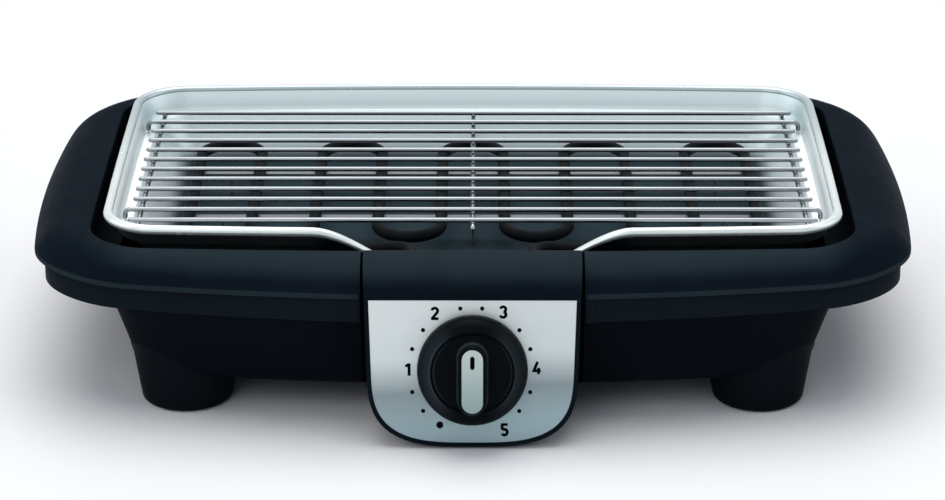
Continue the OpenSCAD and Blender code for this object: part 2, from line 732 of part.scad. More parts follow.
module housing_screws() {
    color("#9aa0a4") {
        flange_screw_sites() translate([0, 0, -wall]) {
            cylinder(r = 1.5, h = wall + 3.6, $fn = 24);
            translate([0, 0, wall + 1.6]) cylinder(r = 3, h = 2, $fn = 24);
        }
        cover_screw_sites(cover_y) {
            cylinder(r = thread_r, h = wall + cover_screw_l, $fn = 24);
            translate([0, 0, -0.9]) cylinder(r = 3.4, h = 0.9, $fn = 24);
        }
    }
}

module faceplate() {
    color("#b8c0c4") difference() {
        on_panel() translate([0, 0, -plate_pocket]) linear_extrude(plate_t) panel_shape(1, plate_margin);
        on_dial() cylinder(d = shaft_d + 6, h = dial_hole_l, center = true, $fn = 32);
    }
}

// ---------------------------------------------------------------- thermostat

// Bracket with the threaded bush that the shaft turns in
module thermostat_frame() {
    color("#a9adb0") on_dial() difference() {
        union() {
            translate([-stack_x - 6, -8, -frame_depth - frame_t]) cube([2 * stack_x + 12, 16, frame_t]);
            translate([0, 0, -frame_depth - frame_t - 1])
                cylinder(d = shaft_d + 5, h = frame_depth + frame_t, $fn = 32);
        }
        cylinder(d = shaft_d + 2 * run_gap, h = shaft_hole_l, center = true, $fn = 32);
        rivet_holes();
    }
}

module rivet_holes() {
    for (s = [-1, 1]) translate([s * stack_x, 0, -40]) cylinder(r = 1.6, h = 39, $fn = 24);
}

// Ring k of the contact stack lies behind the bracket
function ring_z(k) = -frame_depth - frame_t - (k + 1) * ring_t - k * strip_t;

module thermostat_ceramics() {
    color("#efe9dc") on_dial() difference() {
        for (s = [-1, 1], k = [0:2]) translate([s * stack_x, 0, ring_z(k)]) cylinder(r = 4.5, h = ring_t, $fn = 32);
        rivet_holes();
    }
}

module thermostat_springs() {
    color("#c9a45a") on_dial() difference() {
        for (k = [0, 1]) translate([-stack_x - 3.5, -3, ring_z(k) - strip_t])
            cube([2 * stack_x + 7 + 4 * k, 6, strip_t]);
        rivet_holes();
    }
}

module thermostat_rivets() {
    color("#b9b4a6") on_dial() for (s = [-1, 1]) translate([s * stack_x, 0, ring_z(2) - 0.8]) {
        cylinder(r = 1.5, h = 0.8 - frame_depth - ring_z(2), $fn = 24);
        cylinder(r = 2.6, h = 0.8, $fn = 24);
        translate([0, 0, 0.8 - frame_depth - ring_z(2)]) cylinder(r = 2.6, h = 0.8, $fn = 24);
    }
}

module control_shaft() {
    tail = frame_depth + frame_t + 2;
    color("#c2c5c8") on_dial() difference() {
        translate([0, 0, -tail]) cylinder(d = shaft_d, h = tail + knob_h - 5, $fn = 32);
        translate([-shaft_d, shaft_d / 2 - 1, knob_h - 13]) cube([2 * shaft_d, shaft_d, 14]);
    }
}

// ---------------------------------------------------------------- knob

// Half section of the knob: radius and height above the faceplate
function knob_section() =
    let (r = knob_d / 2, h = knob_h, d = knob_disc_d / 2)
    [[0, 0.8], [r - 3, 0.8], [r - 0.3, 1.1], [r, 3], [r, h - 10.5], [r - 0.5, h - 7.5], [r - 1.8, h - 4.5],
     [r - 3.8, h - 1.9], [d + 2.9, h - 0.4], [d + 1.8, h], [d + 1.3, h - 0.5], [d + 1.1, h - 1.8],
     [d + 0.3, h - 1.8], [d, h - 0.9], [d - 0.6, h - 0.5], [0, h - 0.5]];

module stadium(w, l) {
    square([w, l - w], center = true);
    for (s = [-1, 1]) translate([0, s * (l - w) / 2]) circle(d = w, $fn = 40);
}

insert_y = -3.3;
grip_top_w = insert_w + 2.4;

module control_knob() {
    base_l = knob_disc_d;
    top_l = insert_l + 2.4;
    color("#15181a") on_dial() difference() {
        union() {
            rotate_extrude($fn = 96) polygon(knob_section());
            hull() for (s = [-1, 1]) {
                translate([0, s * (base_l - grip_w) / 2, knob_h - 1]) cylinder(d = grip_w, h = 0.6, $fn = 32);
                translate([0, insert_y + s * (top_l - grip_top_w) / 2, knob_h + grip_h - 1.4])
                    cylinder(d = grip_top_w, h = 0.6, $fn = 32);
                translate([0, insert_y + s * (top_l - grip_top_w) / 2, knob_h + grip_h - 1])
                    cylinder(d = grip_top_w - 1, h = 0.5, $fn = 32);
            }
        }
        translate([0, insert_y, knob_h + grip_h - 1.7]) linear_extrude(4) stadium(insert_w + 0.2, insert_l + 0.2);
        difference() {
            translate([0, 0, -1]) cylinder(d = shaft_d + 2 * run_gap, h = knob_h - 3.8, $fn = 32);
            translate([-shaft_d, shaft_d / 2 - 0.9, knob_h - 13]) cube([2 * shaft_d, shaft_d, 14]);
        }
    }
}

// Silver strip let into the grip bar, with the slot that serves as pointer
module knob_insert() {
    color("#c4ccce") on_dial() translate([0, insert_y, knob_h + grip_h - 1.7]) difference() {
        linear_extrude(1.4) stadium(insert_w, insert_l);
        translate([0, insert_l * 0.295, 0.6]) linear_extrude(3) stadium(2.6, 7.7);
    }
}

// ---------------------------------------------------------------- safety switch and wiring parts

switch_z = step_z + wall + 5;

module safety_switch() {
    color("#2f3336") difference() {
        translate([switch_x - 8, plunger_y - 3.2, switch_z]) cube([12, cover_in_y[0] - plunger_y + 3.2, 9]);
        translate([switch_x, plunger_y, switch_z - 1]) cylinder(r = plunger_r + run_gap, h = 7, $fn = 24);
    }
}

// Pushed in by the top of the bay's back wall when the control box is seated
module switch_plunger() {
    tip_z = flange_z + fit_gap;
    color("#d8d3c4") translate([switch_x, plunger_y, tip_z]) cylinder(r = plunger_r, h = switch_z + 2.5 - tip_z, $fn = 24);
}

module terminal_block() {
    color("#efe9dc") difference() {
        translate([-12, cover_in_y[1] - 11, block_z]) cube([30, 11, 9]);
        for (x = [-6, 3, 12]) translate([x, cover_in_y[1] - 5.5, block_z + 1]) cylinder(r = 1.7, h = 9, $fn = 24);
    }
}

module terminal_screws() {
    color("#b9a05a") for (x = [-6, 3, 12]) translate([x, cover_in_y[1] - 5.5, block_z + 1])
        cylinder(r = 1.6, h = 7, $fn = 24);
}

// Grommet in the rear cover. The mains cord would pass through it.
module cord_bush() {
    color("#101213") bush_site() difference() {
        union() {
            cylinder(r = bush_r, h = 3, $fn = 32);
            translate([0, 0, -5]) cylinder(r = bush_r - 1.5, h = 7, $fn = 32);
        }
        cylinder(r = cord_r, h = 30, center = true, $fn = 32);
    }
}

// ---------------------------------------------------------------- the whole grill

// Moves the rim's centre back so that the origin lies under the middle of rim, box and knob
knob_front = behind(dial_drop, -(knob_h + grip_h - 0.5)).x - sin(panel_tilt) * (insert_l / 2 - insert_y + 1);
shift_y = (-knob_front - rim_half.y) / 2;

module place() {
    translate([0, shift_y, 0]) children();
}

place() base_bowl();
place() top_rim();
place() foot(-1, -1);  // front_left_foot
place() foot(1, -1);  // front_right_foot
place() foot(-1, 1);  // rear_left_foot
place() foot(1, 1);  // rear_right_foot
place() foot_pads();
place() foot_screws();
place() rim_screws();
place() reflector_tray();
place() cooking_grid();
place() heating_element();
place() element_seals();
place() element_pins();
place() element_flange();
place() element_cradles();
place() control_housing();
place() housing_rear_cover();
place() housing_screws();
place() faceplate();
place() thermostat_frame();
place() thermostat_ceramics();
place() thermostat_springs();
place() thermostat_rivets();
place() control_shaft();
place() control_knob();
place() knob_insert();
place() safety_switch();
place() switch_plunger();
place() terminal_block();
place() terminal_screws();
place() cord_bush();
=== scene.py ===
import math

import bmesh
import bpy
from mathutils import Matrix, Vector


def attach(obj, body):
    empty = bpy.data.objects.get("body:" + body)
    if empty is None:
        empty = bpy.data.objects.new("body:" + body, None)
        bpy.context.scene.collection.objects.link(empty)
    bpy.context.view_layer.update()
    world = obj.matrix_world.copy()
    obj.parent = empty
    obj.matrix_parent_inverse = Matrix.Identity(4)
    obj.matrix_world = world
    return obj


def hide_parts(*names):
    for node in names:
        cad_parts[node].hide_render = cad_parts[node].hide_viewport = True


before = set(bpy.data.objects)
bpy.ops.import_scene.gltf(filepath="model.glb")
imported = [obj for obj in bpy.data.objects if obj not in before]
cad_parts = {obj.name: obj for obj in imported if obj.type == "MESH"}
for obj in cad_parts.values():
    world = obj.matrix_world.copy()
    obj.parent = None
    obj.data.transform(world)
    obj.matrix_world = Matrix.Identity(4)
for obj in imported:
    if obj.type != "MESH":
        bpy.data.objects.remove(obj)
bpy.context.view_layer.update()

# All lengths below are millimetres measured from the middle of the rim, as in the CAD part; put() turns them
# into the frame's metres. HALF stands for half sizes, in x and y.
SHIFT_Y = 22.0634  # how far the rim's middle lies behind the frame's origin
WALL = 2.5
CORNERS = [(sx, sy) for sx in (-1, 1) for sy in (-1, 1)]
SHARP = 32  # edges turning by more degrees than this stay sharp

RIM_HALF = (267.0, 164.5)
RIM_TOP = 102.5
LIP_Z = 82.85
OPENING_HALF = (228.0, 136.0)
RIM_SCREW = (240, 72)

BOWL_HALF = (218.5, 157.0)
BOWL_MID = (206.5, 150.0)  # half sizes at BOWL_MID_Z, where the curve from floor to wall ends
BOWL_MID_Z = 32.6
BOWL_ROUND = 14  # outer radius of that curve
FLANGE_Z = 67.6
BAND_TOP = 82.8
RIB_TOP = 87.6  # a low rib on the band closes the sight line between the band and the rim's lip
NOTCH = 65.25  # half width of the bay for the control box
FOOT_POS = (171.4, 113.9)
POST_X, POST_YS = 154.3, (-84, -12, 60)

ROLL_HALF = (217.8, 125.8)  # the tray's rolled edge
ROLL_Z = 109.7
TRAY_FLOOR = 67.7
LEDGE_Z = 97.7

PITCH = 38.578  # from run to run of the element
RUN_HALF = 58.91
ELEMENT_Z = 87.7
LEAD_Z = 93.2
GRID_Z = 104.4
GRID_END = 205.8
WIRES = 12
WIRE_PITCH = 16.85
WIRE_R = 1.5

TILT = 75  # the panel's slope in degrees
PANEL_Y, PANEL_Z = -167, 85.3  # upper end of the panel
DIAL_DOWN = 41  # from there down the slope to the dial's middle
DIAL_UP = 3.88  # how far up the slope the dial's middle lies, counted from the frame's origin
BOX_HALF = 71  # half width of the block that the control box is cut from


def put(p):
    """From millimetres to the frame."""
    return Vector((p[0] / 1000, (p[1] + SHIFT_Y) / 1000, p[2] / 1000))


# ------------------------------------------------------------------ meshes


def rad(a):
    return math.radians(a)


def lerp(a, b, t):
    return a + (b - a) * t


class Shape:
    """Vertices and faces of one piece, in millimetres."""

    def __init__(self):
        self.verts, self.faces = [], []

    def add(self, verts, faces):
        n = len(self.verts)
        self.verts += [tuple(v) for v in verts]
        self.faces += [tuple(i + n for i in f) for f in faces]
        return self

    def loft(self, rings, round_ring=True, round_profile=False):
        """A skin over rings of equal length. Open rings get their two ends closed by a flat face."""
        m, n = len(rings), len(rings[0])
        faces = []
        for k in range(m if round_profile else m - 1):
            for i in range(n if round_ring else n - 1):
                a, b = k * n + i, k * n + (i + 1) % n
                c, d = ((k + 1) % m) * n + (i + 1) % n, ((k + 1) % m) * n + i
                faces.append((a, b, c, d))
        if not round_profile:
            faces += [tuple(range(n - 1, -1, -1)), tuple((m - 1) * n + i for i in range(n))]
        elif not round_ring:
            faces += [tuple(k * n for k in range(m)), tuple(k * n + n - 1 for k in range(m - 1, -1, -1))]
        return self.add([v for r in rings for v in r], faces)

    def prism(self, low, high):
        """A solid between two equal outlines."""
        n = len(low)
        return self.add(low + high, [tuple(range(n)), tuple(range(2 * n - 1, n - 1, -1))]
                        + [(i, (i + 1) % n, n + (i + 1) % n, n + i) for i in range(n)])

    def box(self, lo, hi):
        v = [(x, y, z) for z in (lo[2], hi[2]) for y in (lo[1], hi[1]) for x in (lo[0], hi[0])]
        return self.add(v, [(0, 2, 3, 1), (4, 5, 7, 6), (0, 1, 5, 4), (2, 6, 7, 3), (0, 4, 6, 2),
                            (1, 3, 7, 5)])

    def moved(self, place):
        self.verts = [place(v) for v in self.verts]
        return self


def mesh_object(name, shape, bevel=0.0):
    """A new object from a shape, with equal vertices merged and, where bevel is given, its edges rounded."""
    mesh = bpy.data.meshes.new(name)
    mesh.from_pydata([put(v) for v in shape.verts], [], shape.faces)
    bm = bmesh.new()
    bm.from_mesh(mesh)
    bmesh.ops.remove_doubles(bm, verts=bm.verts, dist=1e-6)
    bmesh.ops.recalc_face_normals(bm, faces=bm.faces)
    bm.to_mesh(mesh)
    bm.free()
    obj = bpy.data.objects.new(name, mesh)
    bpy.context.scene.collection.objects.link(obj)
    if bevel:
        mod = obj.modifiers.new("edge", "BEVEL")
        mod.width, mod.segments, mod.limit_method, mod.angle_limit = bevel / 1000, 2, "ANGLE", rad(SHARP)
    return obj


def flatten(obj):
    """Applies the object's modifiers to its mesh."""
    dg = bpy.context.evaluated_depsgraph_get()
    mesh = bpy.data.meshes.new_from_object(obj.evaluated_get(dg))
    old = obj.data
    obj.modifiers.clear()
    obj.data = mesh
    bpy.data.meshes.remove(old)


def cut(obj, tool, how="DIFFERENCE"):
    """Cuts the tool out of the object, or keeps only what they share, and removes the tool."""
    mod = obj.modifiers.new("cut", "BOOLEAN")
    mod.operation, mod.solver, mod.object = how, "EXACT", tool
    flatten(obj)
    bpy.data.objects.remove(tool)


def piece(obj, body, material, slot, *nodes, angle=SHARP):
    """Finishes a piece: smooth shading, material, body, and the CAD nodes it stands for."""
    flatten(obj)
    obj.data.polygons.foreach_set("use_smooth", [True] * len(obj.data.polygons))
    obj.data.set_sharp_from_angle(angle=rad(angle))
    obj.data.materials.clear()
    obj.data.materials.append(material)
    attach(obj, body)
    if nodes:
        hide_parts(*nodes)


def outline(h, r, bow, seg, start=None):
    """Rounded rectangle with half sizes h, corner radius r and sides that bow outwards, counterclockwise. seg
    counts the steps of a corner, an end, the back and half the front. With start, it is open at the front
    between -start and start, as shares of the straight part."""
    cx, cy = h[0] - r, h[1] - r
    pts = []

    def arc(x, y, a):
        pts.extend((x + r * math.cos(rad(a + 90 * i / seg[0])), y + r * math.sin(rad(a + 90 * i / seg[0])))
                   for i in range(seg[0] + 1))

    def side(p, q, n):
        pts.extend((lerp(p[0], q[0], i / n), lerp(p[1], q[1], i / n)) for i in range(1, n))

    if start is not None:
        pts.extend((cx * lerp(start, 1, i / seg[3]), -h[1]) for i in range(seg[3]))
    arc(cx, -cy, 270)
    side((h[0], -cy), (h[0], cy), seg[1])
    arc(cx, cy, 0)
    side((cx, h[1]), (-cx, h[1]), seg[2])
    arc(-cx, cy, 90)
    side((-h[0], cy), (-h[0], -cy), seg[1])
    arc(-cx, -cy, 180)
    if start is None:
        side((-cx, -h[1]), (cx, -h[1]), 2 * seg[3])
    else:
        pts.extend((-cx * lerp(1, start, i / seg[3]), -h[1]) for i in range(1, seg[3] + 1))
    return [(x * (1 - bow[0] / h[0] * (y / h[1]) ** 2), y * (1 - bow[1] / h[1] * (x / h[0]) ** 2))
            for x, y in pts]


def lift(points, z):
    return [(x, y, z) for x, y in points]


def unit(v):
    return v / v.length if v.length else v


def tube(shape, path, r, sides, tips=True):
    """A round bar along a path, with rounded or flat tips."""
    path = [Vector(p) for p in path]
    dirs = []
    for i, p in enumerate(path):
        a = unit(p - path[i - 1]) if i else Vector((0, 0, 0))
        b = unit(path[i + 1] - p) if i < len(path) - 1 else Vector((0, 0, 0))
        dirs.append(unit(a + b))
    side = unit(dirs[0].cross(Vector((0, 0, 1)) if abs(dirs[0].z) < 0.9 else Vector((0, 1, 0))))

    def ring(centre, radius, t, s):
        u = t.cross(s)
        return [tuple(centre + radius * (math.cos(2 * math.pi * k / sides) * s
                                         + math.sin(2 * math.pi * k / sides) * u)) for k in range(sides)]

    def tip(end, a):
        along = dirs[end] * r * (1 - math.sin(rad(a)))
        return ring(path[end] + (along if end == 0 else -along), r * math.cos(rad(a)), dirs[end], side)

    steps = (80, 50, 25) if tips else ()
    rings = [tip(0, a) for a in steps]
    for i, p in enumerate(path):
        side = unit(side - dirs[i] * side.dot(dirs[i]))
        if tips and i in (0, len(path) - 1):
            p = p + dirs[i] * (r if i == 0 else -r)
        rings.append(ring(p, r, dirs[i], side))
    return shape.loft(rings + [tip(-1, a) for a in reversed(steps)])


def circle(x, y, r, n):
    return [(x + r * math.cos(2 * math.pi * k / n), y + r * math.sin(2 * math.pi * k / n)) for k in range(n)]


def lathe(profile, steps, x=0, y=0):
    """Rings of a profile of (radius, height) pairs turned about an upright axis through x, y."""
    return [lift(circle(x, y, max(r, 1e-4), steps), z) for r, z in profile]


def stadium(w, l, y):
    """Outline of a slot w wide and l long, upright, centred on y."""
    return [(w / 2 * math.cos(rad(a)), y + s * (l - w) / 2 + w / 2 * math.sin(rad(a)))
            for s, first in ((1, 0), (-1, 180)) for a in range(first, first + 181, 9)]


# ------------------------------------------------------------------ materials


class Look:
    """A procedural material on object coordinates, in millimetres."""

    def __init__(self, name, **sockets):
        self.mat = bpy.data.materials.new(name)
        self.mat.use_nodes = True
        self.nt = self.mat.node_tree
        self.bsdf = self.nt.nodes["Principled BSDF"]
        for key, value in sockets.items():
            self.bsdf.inputs[key.replace("_", " ")].default_value = value
        coords = self.nt.nodes.new("ShaderNodeTexCoord")
        scale = self.nt.nodes.new("ShaderNodeVectorMath")
        scale.operation = "SCALE"
        scale.inputs["Scale"].default_value = 1000.0
        self.nt.links.new(coords.outputs["Object"], scale.inputs[0])
        self.mm = scale.outputs[0]

    def node(self, kind, **inputs):
        n = self.nt.nodes.new(kind)
        for key, value in inputs.items():
            self.feed(value, n.inputs[key.replace("_", " ")])
        return n

    def feed(self, value, socket):
        if isinstance(value, bpy.types.NodeSocket):
            self.nt.links.new(value, socket)
        else:
            socket.default_value = value

    def stretch(self, x, y, z):
        m = self.node("ShaderNodeVectorMath")
        m.operation = "MULTIPLY"
        self.nt.links.new(self.mm, m.inputs[0])
        m.inputs[1].default_value = (x, y, z)
        return m.outputs[0]

    def noise(self, size, detail, rough=0.5, vector=None):
        """Noise whose features are about size millimetres across."""
        n = self.node("ShaderNodeTexNoise", Scale=1.0 / size, Detail=detail, Roughness=rough)
        self.nt.links.new(vector or self.mm, n.inputs["Vector"])
        return n.outputs["Fac"]

    def mottle(self, size, detail, a, b, vector=None):
        """Patches of two colours."""
        return self.ramp(self.noise(size, detail, vector=vector), [(0.3, a), (0.7, b)])

    def ramp(self, value, stops):
        n = self.node("ShaderNodeValToRGB", Fac=value)
        while len(n.color_ramp.elements) < len(stops):
            n.color_ramp.elements.new(0.5)
        for e, (at, colour) in zip(n.color_ramp.elements, stops):
            e.position, e.color = at, (*colour, 1)
        return n.outputs["Color"]

    def span(self, value, lo, hi, a=0.0, b=1.0):
        """Maps value from lo..hi to a..b, smoothly."""
        n = self.node("ShaderNodeMapRange", Value=value)
        n.interpolation_type = "SMOOTHSTEP"
        for key, v in (("From Min", lo), ("From Max", hi), ("To Min", a), ("To Max", b)):
            n.inputs[key].default_value = v
        return n.outputs["Result"]

    def axis(self, name):
        s = self.node("ShaderNodeSeparateXYZ")
        self.nt.links.new(self.mm, s.inputs[0])
        return s.outputs[name]

    def math(self, how, a, b=0.0):
        n = self.node("ShaderNodeMath")
        n.operation = how
        self.feed(a, n.inputs[0])
        self.feed(b, n.inputs[1])
        return n.outputs[0]

    def mix(self, fac, a, b):
        n = self.node("ShaderNodeMix")
        n.data_type = "RGBA"
        self.feed(fac, n.inputs[0])
        for socket, v in ((n.inputs[6], a), (n.inputs[7], b)):
            self.feed(v if isinstance(v, bpy.types.NodeSocket) else (*v, 1), socket)
        return n.outputs[2]

    def colour(self, value):
        self.nt.links.new(value, self.bsdf.inputs["Base Color"])

    def rough(self, value):
        self.nt.links.new(value, self.bsdf.inputs["Roughness"])

    def bump(self, height, depth):
        n = self.node("ShaderNodeBump", Height=height, Strength=1.0, Distance=depth / 1000)
        self.nt.links.new(n.outputs[0], self.bsdf.inputs["Normal"])
        return self


def shades(rgb, spread):
    """A darker and a lighter shade of a colour."""
    return tuple(c * (1 - spread) for c in rgb), tuple(min(1, c * (1 + spread)) for c in rgb)


def plastic(name, rgb, rough, specular, grain, depth=0.012, spread=0.08):
    k = Look(name, Specular_IOR_Level=specular)
    k.colour(k.mottle(38, 4, *shades(rgb, spread)))
    k.rough(k.span(k.noise(9, 5), 0.3, 0.7, rough - 0.04, rough + 0.05))
    return k.bump(k.noise(grain, 3), depth).mat


def toned(name, low, high, heights, specular, grain, rim=False):
    """Moulded plastic whose tone goes from low to high between two heights: painted shade low down, painted
    highlight high up. The rim's painted highlight falls again towards its handles, and its lip, left and right
    of the control box, has a painted highlight as well."""
    k = Look(name, Specular_IOR_Level=specular)
    # painted light: painted shade below the two heights, painted highlight above them
    up = k.span(k.axis("Z"), *heights)
    if rim:
        # the rim's painted highlight fades towards the handles, and the lip beside the control box gets a
        # painted highlight too
        across = k.math("ABSOLUTE", k.axis("X"))
        lip = k.math("MULTIPLY", k.span(k.axis("Z"), 86.6, 85.6), k.span(across, 66, 67))
        up = k.math("MAXIMUM", k.math("MULTIPLY", up, k.span(across, 235, 190)), lip)
    drift = k.span(k.noise(38, 4), 0.3, 0.7, -0.10, 0.10)
    k.colour(k.mix(k.math("ADD", up, drift), low, high))
    k.rough(k.span(k.noise(9, 5), 0.3, 0.7, 0.40, 0.49))
    return k.bump(k.noise(grain, 3), 0.012).mat


def metal(name, rgb, rough, grain, depth=0.01, brushed=None):
    k = Look(name, Metallic=1.0)
    vector = k.stretch(*brushed) if brushed else None
    k.colour(k.mottle(grain * 6, 3, *shades(rgb, 0.06), vector))
    k.rough(k.span(k.noise(grain, 4, vector=vector), 0.25, 0.75, rough * 0.8, rough * 1.25))
    return k.bump(k.noise(grain * 0.5, 3, vector=vector), depth).mat


def tray_sheet():
    """Bright pressed sheet, greyer towards the back and darker on its outer face, both painted shade. The floor
    and the dip behind the control box are darker still, painted shade and a painted reflection of the black
    element, and only the bright part is metallic."""
    k = Look("bright_pressed_sheet", Specular_IOR_Level=0.006)
    x, y, z = k.axis("X"), k.axis("Y"), k.axis("Z")
    # painted shade and painted reflection on the basin floor and on the dip behind the control box
    floor = k.span(z, TRAY_FLOOR + 14, TRAY_FLOOR + 1.5)
    dip = k.math("MULTIPLY", k.span(k.math("ABSOLUTE", x), 112, 84),
                 k.math("MULTIPLY", k.span(y, SHIFT_Y - 60, SHIFT_Y - 78), k.span(z, ROLL_Z - 5, ROLL_Z - 8)))
    dark = k.math("MAXIMUM", floor, dip)
    k.feed(k.span(dark, 0, 1, 0.6, 0.0), k.bsdf.inputs["Metallic"])
    bright = k.mottle(60, 3, (0.87, 0.93, 0.93), (0.91, 0.96, 0.96))
    # painted shade: greyer towards the back
    bright = k.mix(k.span(y, SHIFT_Y + 30, SHIFT_Y + 105), bright, (0.56, 0.66, 0.68))
    # painted shade on the outer face, under the rolled edge
    facing = k.node("ShaderNodeSeparateXYZ", Vector=k.node("ShaderNodeNewGeometry").outputs["Normal"])
    outside = k.span(facing.outputs["Z"], 0.02, -0.12)
    # colours of the painted shade and painted reflection in the basin
    painted_basin_shade = k.mottle(45, 4, (0.028, 0.049, 0.060), (0.036, 0.061, 0.073))
    bright = k.mix(outside, bright, (0.10, 0.115, 0.12))
    k.colour(k.mix(dark, bright, k.mix(dip, painted_basin_shade, (0.006, 0.012, 0.016))))
    k.rough(k.span(k.noise(18, 3), 0.25, 0.75, 0.38, 0.44))
    return k.bump(k.noise(30, 2), 0.03).mat


def bead_metal():
    """The tray's rolled edge: smoother than the sheet, and greyer towards the back as painted shade."""
    k = Look("polished_bead", Metallic=0.55, Specular_IOR_Level=0.5)
    tone = k.mottle(50, 3, (0.66, 0.72, 0.715), (0.74, 0.80, 0.795))
    # painted shade: greyer towards the back
    k.colour(k.mix(k.span(k.axis("Y"), SHIFT_Y - 40, SHIFT_Y + 100), tone, (0.40, 0.48, 0.50)))
    k.rough(k.span(k.noise(12, 3), 0.25, 0.75, 0.20, 0.28))
    return k.bump(k.noise(20, 2), 0.01).mat


def plate_metal():
    """Satin silver plate, fading from pale at the top to blue grey at the bottom and paler on the left, as
    painted reflection and painted light, with a fine level grain.
    """
    k = Look("satin_silver_plate", Metallic=0.45, Specular_IOR_Level=0.4)
    z = k.axis("Z")
    line = k.noise(0.5, 4, 0.6, k.stretch(0.02, 0.6, 1.0))
    # painted reflection and shade: pale at the top, blue grey at the bottom
    down = k.math("ADD", k.span(z, 84, 2), k.math("MULTIPLY", line, 0.05))
    # painted light: paler on the left than on the right
    down = k.math("ADD", down, k.span(k.axis("X"), -55, 25, -0.05, 0.06))
    k.colour(k.ramp(down, [(0.02, (0.71, 0.765, 0.765)), (0.35, (0.65, 0.73, 0.74)),
                           (0.70, (0.255, 0.320, 0.340)), (1.0, (0.33, 0.450, 0.480))]))
    k.rough(k.span(line, 0.3, 0.7, 0.34, 0.46))
    return k.bump(line, 0.006).mat


def insert_metal():
    """Satin silver strip with a faint green cast, darker towards its lower end as painted shade."""
    k = Look("satin_silver_insert", Metallic=0.5, Specular_IOR_Level=0.4)
    line = k.noise(0.6, 3, 0.5, k.stretch(1.0, 0.3, 0.03))
    # painted shade: darker towards the lower end
    k.colour(k.mix(k.span(k.axis("Z"), 66, 28), (0.50, 0.58, 0.565), (0.265, 0.375, 0.36)))
    k.rough(k.span(line, 0.3, 0.7, 0.30, 0.42))
    return k.bump(line, 0.005).mat


def knob_plastic():
    """Half gloss black with painted highlights: paler flanks of the ring, paler edges on both sides of its
    groove, and a paler edge round the grip, all paler on the left."""
    k = Look("half_gloss_black", Specular_IOR_Level=0.012)
    slope = k.node("ShaderNodeVectorMath")
    slope.operation = "DOT_PRODUCT"
    k.nt.links.new(k.mm, slope.inputs[0])
    slope.inputs[1].default_value = (0, math.cos(rad(TILT)), math.sin(rad(TILT)))
    x, up = k.axis("X"), k.math("SUBTRACT", slope.outputs["Value"], DIAL_UP)
    wide = k.math("ABSOLUTE", x)

    def far(y):
        return k.math("SQRT", k.math("ADD", k.math("MULTIPLY", x, x), k.math("MULTIPLY", y, y)))

    def band(value, lo, hi):
        return k.math("MULTIPLY", k.span(value, lo, lo + 0.6), k.span(value, hi, hi - 0.6))

    reach = far(up)
    past_grip = k.math("SUBTRACT", k.math("ABSOLUTE", k.math("ADD", up, 2.3)), 11.9)
    # painted highlights on the ring's flanks, along both sides of its groove, and round the grip
    flank = k.math("MULTIPLY", k.span(reach, 24.0, 25.0), k.span(reach, 31.5, 25.0, 0.07, 0.42))
    lines = k.math("MAXIMUM", band(reach, 24.3, 25.7), band(reach, 21.8, 23.2))
    sides = k.math("MULTIPLY", k.math("MAXIMUM", flank, k.math("MULTIPLY", lines, 0.85)), k.span(wide, 9, 23))
    grip = k.math("MULTIPLY", band(far(k.math("MAXIMUM", past_grip, 0.0)), 7.9, 9.4), 0.5)
    # the painted highlights are stronger on the left, where the light comes from
    painted_highlight = k.math("MULTIPLY", k.math("MAXIMUM", sides, grip), k.span(x, 34, -34, 0.7, 1.0))
    k.colour(k.mix(painted_highlight, (0.0042, 0.0060, 0.0074), (0.048, 0.066, 0.077)))
    k.rough(k.span(k.noise(9, 5), 0.3, 0.7, 0.26, 0.35))
    return k.bump(k.noise(0.5, 3), 0.006).mat


def ceramic():
    k = Look("white_ceramic", Specular_IOR_Level=0.3)
    k.colour(k.mottle(3, 5, (0.70, 0.66, 0.57), (0.80, 0.77, 0.69)))
    k.rough(k.span(k.noise(1.5, 4), 0.3, 0.7, 0.7, 0.9))
    return k.bump(k.noise(0.6, 4), 0.05).mat


def oxide_tube():
    """Heating tube: matt black oxide with a faint brown and blue cast."""
    k = Look("oxidised_tube", Specular_IOR_Level=0.03)
    k.colour(k.ramp(k.noise(14, 4), [(0.3, (0.0046, 0.0070, 0.0085)), (0.55, (0.0085, 0.0100, 0.0112)),
                                     (0.75, (0.0060, 0.0088, 0.0110))]))
    k.rough(k.span(k.noise(5, 5), 0.3, 0.7, 0.44, 0.60))
    return k.bump(k.noise(0.5, 4), 0.02).mat


# Painted light on the rim and the control box: painted shade low on the dome and the box, painted highlight near
# the top
RIM_MAT = toned("satin_slate_plastic", (0.0060, 0.0106, 0.0158), (0.0190, 0.0305, 0.0375), (90, 100),
                0.003, 0.7, rim=True)
# Painted shade on the bowl below its flange, under the rim; the band above has the lighter tone
BOWL_MAT = toned("satin_black_plastic", (0.0040, 0.0054, 0.0084), (0.0085, 0.0135, 0.0175), (66, 68.5),
                 0.005, 0.8)
FOOT_MAT = plastic("satin_black_feet", (0.0050, 0.0078, 0.0105), 0.44, 0.015, grain=0.8)
KNOB_MAT = knob_plastic()
RUBBER_MAT = plastic("black_rubber", (0.012, 0.012, 0.013), 0.75, 0.2, grain=0.4, depth=0.04, spread=0.2)
INK_MAT = plastic("black_ink", (0.0030, 0.0036, 0.0042), 0.55, 0.005, grain=0.3, depth=0.003)
WHITE_MAT = plastic("pale_plastic", (0.66, 0.62, 0.54), 0.45, 0.4, grain=0.8, spread=0.05)
TRAY_MAT = tray_sheet()
BEAD_MAT = bead_metal()
PLATE_MAT = plate_metal()
INSERT_MAT = insert_metal()
TUBE_MAT = oxide_tube()
CERAMIC_MAT = ceramic()
CHROME_MAT = metal("chromed_wire", (0.25, 0.275, 0.29), 0.17, grain=8, depth=0.002)
STEEL_MAT = metal("stamped_steel", (0.21, 0.22, 0.23), 0.42, grain=3, brushed=(0.1, 1, 1))
ZINC_MAT = metal("zinc_plated", (0.55, 0.57, 0.58), 0.30, grain=1.2)
